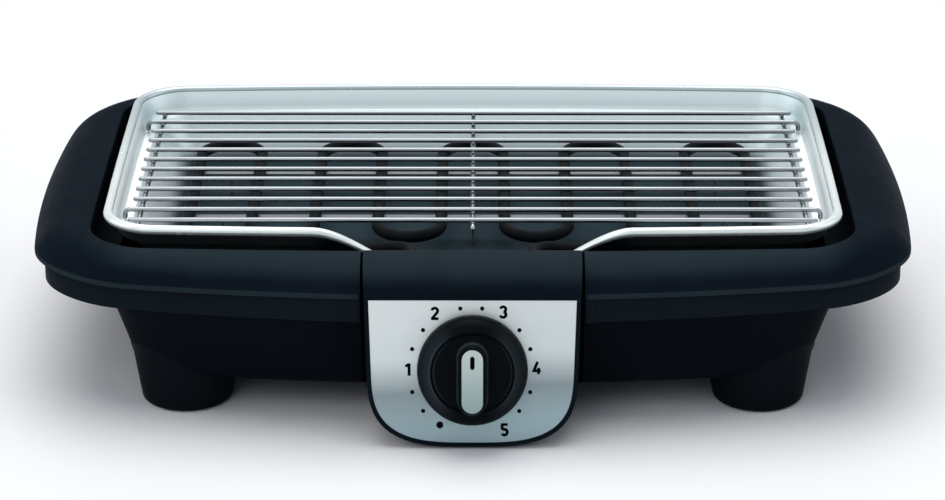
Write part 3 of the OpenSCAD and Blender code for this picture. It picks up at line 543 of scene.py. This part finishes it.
BRASS_MAT = metal("brass_strip", (0.60, 0.42, 0.16), 0.30, grain=2, brushed=(0.15, 1, 1))


# ------------------------------------------------------------------ rim

RIM_SEG = (18, 22, 56, 24)


def rim_ring(u, z):
    """The rim's outline at a share u of the way from the opening to the outer edge, open at the notch."""
    inner_r, outer_r, outer_bow = 36.0, 58.0, 10
    inner = (OPENING_HALF[0] - inner_r) * (1 - 1 / OPENING_HALF[0])
    outer = (RIM_HALF[0] - outer_r) * (1 - outer_bow / RIM_HALF[0])
    start = NOTCH / lerp(inner, outer, u)
    a = outline(OPENING_HALF, inner_r, (1, 6), RIM_SEG, start)
    b = outline(RIM_HALF, outer_r, (outer_bow, 27.5), RIM_SEG, start)
    return [(lerp(p[0], q[0], u), lerp(p[1], q[1], u), z) for p, q in zip(a, b)]


def rim_z(u):
    """Height of the dome."""
    return RIM_TOP - 16.5 * u ** 4


def rim_under(u):
    return rim_z(min(1, u + 0.04)) - WALL


def build_rim():
    uw = WALL / 39.0  # the wall as a share of the rim's width
    profile = [(0.988, LIP_Z), (0.997, LIP_Z + 0.12), (1, LIP_Z + 0.5), (1, 85.35), (0.9985, 85.8),
               (0.992, 86.25)]
    dome = (0.975, 0.95, 0.92, 0.88, 0.83, 0.78, 0.72, 0.65, 0.57, 0.49, 0.41, 0.33, 0.25, 0.17, 0.10, 0.055)
    profile += [(u, rim_z(u)) for u in dome]
    profile += [(0.030, RIM_TOP - 0.03), (0.012, RIM_TOP - 0.25), (0.003, RIM_TOP - 0.7), (0, RIM_TOP - 1.3),
                (0, RIM_TOP - 5), (0, RIM_TOP - 8.6), (0.008, RIM_TOP - 9), (uw - 0.008, RIM_TOP - 9),
                (uw, RIM_TOP - 8.6)]
    profile += [(u, rim_under(u)) for u in (uw, 0.2, 0.35, 0.5, 0.62, 0.74, 0.82, 0.9, 1 - uw)]
    profile += [(1 - uw, LIP_Z)]
    s = Shape().loft([rim_ring(u, z) for u, z in profile], round_ring=False, round_profile=True)
    boss = [(1.96, 70.4), (4.3, 70.4), (4.5, 70.7), (4.5, 97.2), (1.96, 97.2)]
    for sx, sy in CORNERS:
        s.loft(lathe(boss, 40, sx * RIM_SCREW[0], sy * RIM_SCREW[1]), round_profile=True)
    piece(mesh_object("rim_shell", s), "base", RIM_MAT, "rim_plastic", "top_rim", angle=30)


# ------------------------------------------------------------------ bowl and feet

BOWL_SEG = (18, 16, 40, 22)
ROUND = [90, 81, 72, 63, 54, 45, 36, 27, 18, 9, 0]  # steps of the curve from the floor to the wall


def bowl_ring(h, inset, z):
    corner = 42 - (BOWL_HALF[0] - h[0]) * 0.5 - inset
    bow = (1, 17.5 * (h[0] / BOWL_HALF[0]) ** 2)
    return lift(outline((h[0] - inset, h[1] - inset), corner, bow, BOWL_SEG), z)


def band_ring(inset, z):
    h = (RIM_HALF[0] - 8 - inset, RIM_HALF[1] - 1.2 - inset)
    return lift(outline(h, 48 - inset, (5, 33), BOWL_SEG), z)


def floor_rings(r, steps):
    """Rings of the curve from the bowl's floor to its wall, with radius r on this face."""
    return [bowl_ring(BOWL_MID, BOWL_ROUND - r * math.cos(rad(a)), BOWL_MID_Z - r * math.sin(rad(a)))
            for a in steps]


def wall_ring(z, inset):
    t = (z - BOWL_MID_Z) / (FLANGE_Z - BOWL_MID_Z)
    a, b = bowl_ring(BOWL_MID, inset, z), bowl_ring(BOWL_HALF, inset, z)
    return [(lerp(p[0], q[0], t), lerp(p[1], q[1], t), z) for p, q in zip(a, b)]


def build_bowl():
    rings = floor_rings(BOWL_ROUND, ROUND)
    rings += [wall_ring(z, 0) for z in (38, 46, 54, 62, 66.9)]
    rings += [bowl_ring(BOWL_HALF, -0.5, FLANGE_Z)]
    rings += [band_ring(0.7, FLANGE_Z), band_ring(0.2, FLANGE_Z + 0.2), band_ring(0, FLANGE_Z + 0.7),
              band_ring(0, BAND_TOP - 0.5), band_ring(0.15, BAND_TOP - 0.15), band_ring(0.5, BAND_TOP),
              band_ring(3.2, BAND_TOP), band_ring(3.2, RIB_TOP), band_ring(5, RIB_TOP),
              band_ring(5, FLANGE_Z + WALL), bowl_ring(BOWL_HALF, WALL, FLANGE_Z + WALL)]
    rings += [wall_ring(z, WALL) for z in (62, 54, 46, 38)]
    rings += floor_rings(BOWL_ROUND - WALL, ROUND[::-1])
    bowl = mesh_object("bowl_shell", Shape().loft(rings))
    cut(bowl, mesh_object("bay_cut", Shape().box((-NOTCH, -220, 0), (NOTCH, -143, 160))))
    for sx, sy in CORNERS:
        hole = lathe([(2.2, 66), (2.2, 72)], 32, sx * RIM_SCREW[0], sy * RIM_SCREW[1])
        cut(bowl, mesh_object("hole", Shape().loft(hole)))
    piece(bowl, "base", BOWL_MAT, "bowl_plastic", "base_bowl", angle=30)

    bay = Shape().box((-NOTCH - WALL, -143, 21.5), (NOTCH + WALL, -140.5, FLANGE_Z))
    cheek = [(-140.5, 21.5), (-140.5, 70.1), (-154.2, 70.1), (-147.2, BOWL_MID_Z), (-146.3, 27.8),
             (-144.3, 23.6)]
    for sx in (-1, 1):
        bay.prism(*([(sx * x, y, z) for y, z in cheek] for x in (NOTCH, NOTCH + WALL)))
        bay.box((min(sx * NOTCH, sx * (NOTCH + 5.5)), -162.1, FLANGE_Z),
                (max(sx * NOTCH, sx * (NOTCH + 5.5)), -157.6, BAND_TOP))
    piece(mesh_object("bowl_bay", bay, 0.4), "base", BOWL_MAT, "bowl_plastic", "base_bowl")

    posts = Shape()
    post = [(13.5, 20.9), (12.4, 21.5), (11.2, 24), (7.4, 33), (7, 36), (7, 65.8), (6.5, 66.4), (0, 66.4)]
    boss = [(7.2, 20.9), (6.2, 22), (6, 24), (6, 35.1), (5.5, 35.6), (2.0, 35.6), (2.0, 20.9)]
    for sx in (-1, 1):
        for y in POST_YS:
            posts.loft(lathe(post, 48, sx * POST_X, y))
        for sy in (-1, 1):
            posts.loft(lathe(boss, 40, sx * FOOT_POS[0], sy * FOOT_POS[1]))
    piece(mesh_object("bowl_posts", posts), "base", BOWL_MAT, "bowl_plastic", "base_bowl")


def build_foot(name, sx, sy):
    """A cone that leans towards the middle and ends at the bowl, with the recess for its pad and screw."""
    low, top, low_r, lean = 1, 47.6, 27, 13
    slope = math.tan(rad(11.3))

    def ring(z, grow=0.0):
        y = FOOT_POS[1] - lean * (z - low) / (top - low)
        return lift(circle(sx * FOOT_POS[0], sy * y, low_r + (z - low) * slope + grow, 72), z)

    recess = [(1.9, 20), (1.9, 8), (4.6, 8), (4.6, 3), (19.3, 3), (19.3, 1.2), (19.6, low)]
    rings = lathe(recess, 72, sx * FOOT_POS[0], sy * FOOT_POS[1])
    rings += [ring(low, -1.4), ring(1.15, -0.75), ring(1.6, -0.25), ring(2.4, 0)]
    rings += [ring(z) for z in (8, 16, 24, 32, 40, top)]
    foot = mesh_object(name, Shape().loft(rings))
    bowl = floor_rings(BOWL_ROUND, ROUND[::2]) + [wall_ring(50, 0), bowl_ring(BOWL_HALF, 0, FLANGE_Z)]
    cut(foot, mesh_object("bowl_tool", Shape().loft(bowl)))
    return foot


def build_feet():
    for side, sx in (("left", -1), ("right", 1)):
        for end, sy in (("front", -1), ("rear", 1)):
            node = f"{end}_{side}_foot"
            piece(build_foot(f"{end}_{side}_foot_cone", sx, sy), "base", FOOT_MAT, "bowl_plastic", node)


# ------------------------------------------------------------------ tray

TRAY_SEG = (20, 26, 48, 60)


def ease(t):
    """A smooth step from 0 to 1."""
    t = max(0.0, min(1.0, t))
    return t * t * (3 - 2 * t)


def tray_ring(in_x, in_y, z):
    """The tray's outline, set in from the rolled edge. Its front dips behind the control box."""
    h = (ROLL_HALF[0] - in_x, ROLL_HALF[1] - in_y)
    dip = 25 * max(0.0, (z - TRAY_FLOOR) / (ROLL_Z - TRAY_FLOOR))
    pts = outline(h, max(6.0, 29 - in_x * 0.6), (1, 6 * h[0] / ROLL_HALF[0]), TRAY_SEG)
    return [(x, y, z - (ease((94.8 - abs(x)) / 68) * dip if y < 0 else 0)) for x, y in pts]


def bead_rings(angles, r=2.8):
    return [tray_ring(-r * math.cos(rad(a)), -r * math.cos(rad(a)), ROLL_Z + r * math.sin(rad(a)))
            for a in angles]


def build_tray():
    # Insets in x and y, and heights, from the rolled edge down to the floor
    upper = [(3.4, 3.4, ROLL_Z - 1), (3.9, 3.95, ROLL_Z - 2.0), (4.6, 4.8, ROLL_Z - 3.2),
             (5.6, 6.9, LEDGE_Z + 3.6), (6.1, 8.1, LEDGE_Z + 0.9), (6.7, 8.9, LEDGE_Z + 0.15),
             (7.6, 9.3, LEDGE_Z), (12.2, 9.8, LEDGE_Z), (13.2, 10.2, LEDGE_Z - 0.3), (14.6, 11.1, LEDGE_Z - 1.5),
             (19, 14.5, 90.3), (25, 19, 81.7), (30, 23.3, 74.3), (32.4, 25.2, 71.3), (34.4, 26.8, 69.3),
             (36.6, 28.6, 68.2), (39, 30.8, 67.8), (42, 34, TRAY_FLOOR)]
    lower = [(ix - 0.95, iy - 0.95, z - 0.85) for ix, iy, z in upper[2:]]
    lower = lower[::-1] + [(2.5, 2.5, ROLL_Z - 2.1)]
    sheet = Shape().loft([tray_ring(*p) for p in lower] + bead_rings([-100, -60, 0, 60, 100, 140], 2.35)
                         + [tray_ring(*p) for p in upper])
    tray = mesh_object("tray_sheet", sheet)
    seats = Shape()
    seat = [(7.6, 67.65), (6.6, 67.8), (5.6, 68.4), (4.6, 68.9), (3.6, 69.08), (0, 69.1)]
    for sx in (-1, 1):
        for y in POST_YS:
            seats.loft(lathe(seat, 48, sx * POST_X, y))
    piece(tray, "reflector_tray", TRAY_MAT, "bright_sheet", "reflector_tray", angle=40)
    piece(mesh_object("tray_seats", seats), "reflector_tray", TRAY_MAT, "bright_sheet", "reflector_tray")
    bead = Shape().loft(bead_rings(range(0, 360, 20)), round_profile=True)
    piece(mesh_object("tray_bead", bead), "reflector_tray", BEAD_MAT, "bright_sheet", "reflector_tray")


# ------------------------------------------------------------------ element and grid


def arc(cx, cy, r, a0, a1, n, z0, z1):
    return [(cx + r * math.cos(rad(lerp(a0, a1, i / n))), cy + r * math.sin(rad(lerp(a0, a1, i / n))),
             lerp(z0, z1, i / n)) for i in range(n + 1)]


def build_element():
    """One tube: a lead from the control box, ten runs joined by nine bends, and the same lead mirrored."""
    bend, runs = 16, 10
    front_y = -100
    left = [(-36, y, LEAD_Z) for y in (-139, -130, -122)]
    left += arc(-36 - bend, front_y - bend, bend, 0, 90, 16, LEAD_Z, 89.7)
    left += [(-62, front_y, 88.75), (-74, front_y, 88.05), (-90, front_y, ELEMENT_Z)]
    left += arc(-157.6, front_y + bend, bend, 270, 180, 16, ELEMENT_Z, ELEMENT_Z)
    path = list(left)
    for i in range(runs - 1):
        x, side = (i + 1 - runs / 2) * PITCH, 1 if i % 2 == 0 else -1
        turn = arc(x, RUN_HALF, PITCH / 2, 180, 0, 24, ELEMENT_Z, ELEMENT_Z)
        path += [(px, side * py, z) for px, py, z in turn]
    path += [(-x, y, z) for x, y, z in reversed(left)]
    piece(mesh_object("element_coil", tube(Shape(), path, 3.6, 24, tips=False)), "heater_unit", TUBE_MAT,
          "dark_tube", "heating_element")


def build_grid():
    """Wires along the length, two of which are bent down as legs, on three cross wires, with a weld at each
    crossing."""
    s = Shape()
    first = -WIRE_PITCH * (WIRES - 1) / 2
    half = 2 - first
    low = GRID_Z - 2.6
    crossings = (-GRID_END + 6, 0, GRID_END - 6)
    for i in range(WIRES):
        y = first + i * WIRE_PITCH
        if i in (1, WIRES - 2):
            bend = 3.2
            turn = [(GRID_END + bend * math.sin(rad(a)), y, GRID_Z - bend * (1 - math.cos(rad(a))))
                    for a in range(0, 91, 10)] + [(GRID_END + bend, y, LEDGE_Z + 0.3)]
            tube(s, [(-x, py, z) for x, py, z in reversed(turn)] + turn, WIRE_R, 20)
        else:
            tube(s, [(x, y, GRID_Z) for x in (-GRID_END, -100, 100, GRID_END)], WIRE_R, 20)
    for x in (crossings[0], crossings[2]):
        tube(s, [(x, y, low) for y in (-half, 0, half)], WIRE_R, 20)
    hook = [(0, -half - 3 * math.sin(rad(a)), low - 3 * (1 - math.cos(rad(a)))) for a in range(75, -1, -15)]
    tube(s, hook + [(x, -y, z) for x, y, z in reversed(hook)], WIRE_R, 20)
    weld = [(1.9 * math.cos(rad(b)), GRID_Z - 1.3 + 0.75 * math.sin(rad(b))) for b in (-80, -45, 0, 45, 80)]
    for i in range(WIRES):
        for x in crossings:
            s.loft(lathe(weld, 12, x, first + i * WIRE_PITCH))
    piece(mesh_object("grid_wires", s), "cooking_grid", CHROME_MAT, "chromed_wire", "cooking_grid", angle=60)


# ------------------------------------------------------------------ control box


def panel(v):
    """From the panel (x across, y up the slope, z out of it) to the body."""
    x, y, z = v
    c, s = math.cos(rad(TILT)), math.sin(rad(TILT))
    return (x, PANEL_Y + y * c - z * s, PANEL_Z + y * s + z * c)


def dial(v):
    return panel((v[0], v[1] - DIAL_DOWN, v[2]))


def behind(down, deep):
    """y and z of a point down the panel's slope and deep behind it."""
    c, s = math.cos(rad(90 - TILT)), math.sin(rad(90 - TILT))
    return (PANEL_Y - down * s + deep * c, PANEL_Z - down * c - deep * s)


def box_side(s):
    """Half the box's width at a way s down the panel."""
    return 63 - s * math.tan(rad(2))


def panel_outline(top, inset):
    """The panel's outline from its top edge at a way top down the panel: sides that draw in, and one full
    curve from the turn to the bottom."""
    turn, bottom, steps, power = 42, 87 - inset, 36, 2 / 3.2
    side = [(box_side(s) - inset, -s) for s in (top, lerp(top, turn, 0.3), lerp(top, turn, 0.65))]
    for i in range(steps + 1):
        a = rad(90 * i / steps)
        s = turn + (bottom - turn) * math.sin(a) ** power
        side.append(((box_side(s) - inset) * max(0.0, math.cos(a)) ** power, -s))
    return side + [(-x, y) for x, y in reversed(side[:-1])]


def front_loft(top, steps):
    """The front outline run back into the box; steps are pairs of inset and height above the panel."""
    return Shape().loft([[panel((x, y, z)) for x, y in panel_outline(top, inset)] for inset, z in steps])


def side_prism(points):
    """A solid right across the box from its side view."""
    return Shape().prism(*([(x, y, z) for y, z in points] for x in (-BOX_HALF, BOX_HALF)))


def top_line(t):
    """Side view of the box's top at a depth t: it follows the rim's dome."""
    along = (0.03, 0.08, 0.14, 0.2, 0.27, 0.34, 0.41, 0.48, 0.55, 0.62, 0.68, 0.74, 0.8, 0.85, 0.9, 0.94, 0.97)
    return [(-134 - t, 101.9 - t)] + [(-(136 + u * 31), rim_z(u) + 0.8 - t) for u in along]


def build_box():
    edge = [behind(0.9, 0), behind(0.45, 0.08), behind(0.12, 0.35)][::-1]
    back = [(-158.5, 11.6), (-144.5, 23.6), (-144.5, 68.6), (-134, 68.6)]
    box = mesh_object("box_shell", side_prism(top_line(0) + edge + [behind(87.5, 0)] + back))
    front = front_loft(-36, [(1.0, 0.02), (0.45, -0.15), (0.12, -0.55), (0, -1.1), (0, -80)])
    cut(box, mesh_object("front", front), "INTERSECT")
    back = [(-158.5, 14.3), (-118.5, -28.4), (-114, 48.6), (-114, 96.5)]
    cavity = mesh_object("cavity", side_prism(top_line(WALL) + [behind(2, 3.7), behind(81, 3.7)] + back))
    cut(cavity, mesh_object("inner", front_loft(-36, [(WALL, 40), (WALL, -80)])), "INTERSECT")
    cut(box, cavity)
    cut(box, mesh_object("pocket", front_loft(0.8, [(2.4, 5), (2.4, -1.2)])))
    piece(box, "heater_unit", RIM_MAT, "rim_plastic", "control_housing", angle=28)

    plate = front_loft(1.0, [(2.6, -1.2), (2.6, -0.35), (2.68, -0.24), (2.8, -0.2)])
    piece(mesh_object("plate_sheet", plate), "heater_unit", PLATE_MAT, "plate_silver", "faceplate", angle=28)


def ribbon(path, w):
    """Flat stroke of width w along a path, with square ends."""
    pts = [Vector(p) for p in path]
    left, right = [], []
    for i, p in enumerate(pts):
        a = (pts[i] - pts[i - 1]).normalized() if i else None
        b = (pts[i + 1] - pts[i]).normalized() if i < len(pts) - 1 else None
        t = (a + b).normalized() if a and b else (a or b)
        n = Vector((-t.y, t.x))
        k = w / 2 / max(0.5, n.dot(Vector((-(a or b).y, (a or b).x))))
        left.append(p + n * k)
        right.append(p - n * k)
    return [tuple(v) for v in left + right[::-1]]


def stroke_arc(cx, cy, rx, ry, a0, a1):
    n = 14
    return [(cx + rx * math.cos(rad(lerp(a0, a1, i / n))), cy + ry * math.sin(rad(lerp(a0, a1, i / n))))
            for i in range(n + 1)]


# Centre lines of the dial's numerals in a box NUMERAL_W wide and 1 high
NUMERAL_W = 0.56
NUMERALS = {
    "1": [[(0.08, 0.74), (0.36, 0.94)], [(0.36, 1.0), (0.36, 0.0)]],
    "2": [stroke_arc(0.28, 0.70, 0.215, 0.225, 170, -28) + [(0.08, 0.075)], [(0.0, 0.075), (0.56, 0.075)]],
    "3": [stroke_arc(0.28, 0.715, 0.205, 0.21, 165, -80), stroke_arc(0.28, 0.29, 0.215, 0.215, 80, -165)],
    "4": [[(0.33, 1.0), (0.06, 0.27), (0.58, 0.27)], [(0.41, 0.52), (0.41, 0.0)]],
    "5": [[(0.52, 0.925), (0.115, 0.925), (0.10, 0.50)], stroke_arc(0.28, 0.31, 0.215, 0.235, 138, -150)],
}
NUMERAL_AT = {"1": (-37.3, -0.4), "2": (-21.8, 32.5), "3": (17.7, 33.3), "4": (37.3, 0.6), "5": (18.6, -35.8)}
DOTS_AT = (-130, -110, -70, -50, -10, 10, 50, 70, 110, 130, -150)  # degrees from upright; the last one is OFF


def build_marks():
    """The printed dots and numerals: thin flats that stand just proud of the plate."""
    low, high = -0.22, -0.16
    flats = []
    for angle in DOTS_AT:
        r = 2.05 if angle == DOTS_AT[-1] else 1.25
        flats.append(circle(36.4 * math.sin(rad(angle)) - 0.7, 36.9 * math.cos(rad(angle)) - 1.0, r, 24))
    tall, stretch, stroke = 7.3, 1.06, 0.225
    for text, (cx, cy) in NUMERAL_AT.items():
        for path in NUMERALS[text]:
            flats.append([(cx + (x - NUMERAL_W / 2) * tall * stretch, cy + (y - 0.5) * tall)
                          for x, y in ribbon(path, stroke)])
    marks = Shape()
    for flat in flats:
        marks.prism(lift(flat, low), lift(flat, high))
    piece(mesh_object("dial_marks", marks.moved(dial)), "heater_unit", INK_MAT, "knob_black")


# ------------------------------------------------------------------ knob


def build_knob():
    r, h, d = 32.1, 16.5, 22.2  # the ring's radius and height, and the disc's radius
    turned = [(0, 0.8), (r - 3, 0.8), (r - 1.0, 0.9), (r - 0.35, 1.2), (r - 0.08, 2.0), (r, 3.0),
              (r, h - 10.5), (r - 0.15, h - 9.0), (r - 0.5, h - 7.5), (r - 1.05, h - 6.0), (r - 1.8, h - 4.5),
              (r - 2.7, h - 3.1), (r - 3.8, h - 1.9), (r - 4.9, h - 1.05), (d + 3.4, h - 0.55),
              (d + 2.6, h - 0.25), (d + 2.0, h - 0.04), (d + 1.6, h - 0.12), (d + 1.3, h - 0.5),
              (d + 1.15, h - 1.8), (d + 0.3, h - 1.8), (d + 0.08, h - 1.1), (d - 0.25, h - 0.72),
              (d - 0.7, h - 0.52), (d - 2, h - 0.5), (0, h - 0.5)]
    s = Shape().loft(lathe(turned, 160))
    levels = [(20.3, 43.6, -1.4, h - 0.55), (19.6, 43.3, -1.5, h - 0.42), (19.0, 42.9, -1.6, h - 0.05),
              (18.6, 42.5, -1.75, h + 0.8), (18.0, 41.9, -2.1, h + 2.6), (17.1, 41.2, -2.45, h + 5.0),
              (16.1, 40.5, -2.9, h + 7.5), (15.6, 40.1, -3.15, h + 8.55), (15.1, 39.8, -3.2, h + 9.05),
              (14.5, 39.1, -3.3, h + 9.35), (13.9, 38.5, -3.3, h + 9.47), (13.2, 37.8, -3.3, h + 9.4),
              (12.75, 37.35, -3.3, h + 9.2), (12.6, 37.2, -3.3, h + 8.9), (12.6, 37.2, -3.3, h + 8.0)]
    s.loft([lift(stadium(w, l, y), z) for w, l, y, z in levels])
    piece(mesh_object("knob_body", s.moved(dial)), "knob", KNOB_MAT, "knob_black", "control_knob", angle=38)

    z = h + 8.0  # the strip's underside
    grip_y, pointer_y = -3.3, 7.6
    strip = [(12.4, 37, 0), (12.4, 37, 1.05), (12.25, 36.85, 1.25), (12.0, 36.6, 1.36), (11.4, 36, 1.4)]
    strip = Shape().loft([lift(stadium(w, l, grip_y), z + e) for w, l, e in strip])
    strip = mesh_object("knob_strip", strip.moved(dial))
    slot = Shape().loft([lift(stadium(2.6, 7.7, pointer_y), z + e) for e in (0.6, 3)])
    cut(strip, mesh_object("slot", slot.moved(dial)))
    piece(strip, "knob", INSERT_MAT, "insert_silver", "knob_insert", angle=38)
    ink = [(2.58, 0.55), (2.58, 0.9), (2.3, 1.0)]
    ink = Shape().loft([lift(stadium(w, w + 5.1, pointer_y), z + e) for w, e in ink])
    piece(mesh_object("knob_pointer", ink.moved(dial)), "knob", INK_MAT, "knob_black")


# ------------------------------------------------------------------ everything that stays as the CAD has it

KEPT = {
    "foot_pads": RUBBER_MAT, "cord_bush": RUBBER_MAT,
    "foot_screws": ZINC_MAT, "rim_screws": ZINC_MAT, "housing_screws": ZINC_MAT,
    "element_seals": CERAMIC_MAT, "thermostat_ceramics": CERAMIC_MAT, "terminal_block": CERAMIC_MAT,
    "element_pins": STEEL_MAT, "element_flange": STEEL_MAT, "element_cradles": STEEL_MAT,
    "thermostat_frame": STEEL_MAT, "thermostat_rivets": STEEL_MAT, "control_shaft": STEEL_MAT,
    "thermostat_springs": BRASS_MAT, "terminal_screws": BRASS_MAT,
    "housing_rear_cover": BOWL_MAT, "safety_switch": BOWL_MAT, "switch_plunger": WHITE_MAT,
}


def dress_cad():
    for name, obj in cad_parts.items():
        obj.data.materials.clear()
        obj.data.materials.append(KEPT.get(name, BOWL_MAT))


# ------------------------------------------------------------------ stage


def build_stage():
    mesh = bpy.data.meshes.new("floor")
    mesh.from_pydata([(-5, -5, 0), (5, -5, 0), (5, 5, 0), (-5, 5, 0)], [], [(0, 1, 2, 3)])
    floor = bpy.data.objects.new("floor", mesh)
    bpy.context.scene.collection.objects.link(floor)
    mat = bpy.data.materials.new("pale_floor")
    mat.use_nodes = True
    bsdf = mat.node_tree.nodes["Principled BSDF"]
    bsdf.inputs["Base Color"].default_value = (0.985, 0.975, 0.965, 1)
    bsdf.inputs["Roughness"].default_value = 0.9
    bsdf.inputs["Specular IOR Level"].default_value = 0.0
    mesh.materials.append(mat)

    world = bpy.data.worlds.new("studio")
    bpy.context.scene.world = world
    world.use_nodes = True
    nt = world.node_tree
    background = nt.nodes["Background"]
    rays = nt.nodes.new("ShaderNodeLightPath").outputs

    def either(a, b):
        n = nt.nodes.new("ShaderNodeMath")
        n.operation = "MAXIMUM"
        nt.links.new(a, n.inputs[0])
        nt.links.new(b, n.inputs[1])
        return n.outputs[0]

    # The world is white where it is seen or mirrored, and dim and bluish where it only lights
    seen = either(either(rays["Is Camera Ray"], rays["Is Transmission Ray"]), rays["Is Glossy Ray"])
    tint = nt.nodes.new("ShaderNodeMix")
    tint.data_type = "RGBA"
    tint.inputs[6].default_value = (0.85, 0.96, 1.20, 1)
    tint.inputs[7].default_value = (1, 1, 1, 1)
    nt.links.new(seen, tint.inputs[0])
    nt.links.new(tint.outputs[2], background.inputs["Color"])
    level = nt.nodes.new("ShaderNodeMapRange")
    level.inputs["To Min"].default_value = 0.22
    level.inputs["To Max"].default_value = 1.0
    nt.links.new(seen, level.inputs["Value"])
    nt.links.new(level.outputs["Result"], background.inputs["Strength"])

    for name, strength, angle, tilt, turn in (("overhead", 1.60, 54, -12, 0), ("back", 0.42, 34, -42, 0),
                                              ("front", 0.35, 40, 52, -28), ("left", 0.55, 50, 58, -90),
                                              ("right", 0.40, 50, 58, 90)):
        light = bpy.data.lights.new(name, "SUN")
        light.energy, light.angle = strength, rad(angle)
        obj = bpy.data.objects.new(name, light)
        obj.rotation_euler = (rad(tilt), 0, rad(turn))
        bpy.context.scene.collection.objects.link(obj)


def build_camera():
    cam = bpy.data.cameras.new("camera")
    obj = bpy.data.objects.new("camera", cam)
    obj.location = (0.0038, -1.8947, 0.8407)
    aim = Vector((-0.0003, 0.00206, 0.055)) - obj.location
    obj.rotation_euler = aim.to_track_quat("-Z", "Y").to_euler()
    cam.lens, cam.sensor_width = 125.71, 36
    cam.clip_start, cam.clip_end = 0.05, 50
    bpy.context.scene.collection.objects.link(obj)
    bpy.context.scene.camera = obj


bpy.context.scene.view_settings.view_transform = "Standard"
for build in (build_camera, build_stage, build_rim, build_bowl, build_feet, build_tray, build_element,
              build_grid, build_box, build_marks, build_knob, dress_cad):
    build()

bpy.context.view_layer.update()
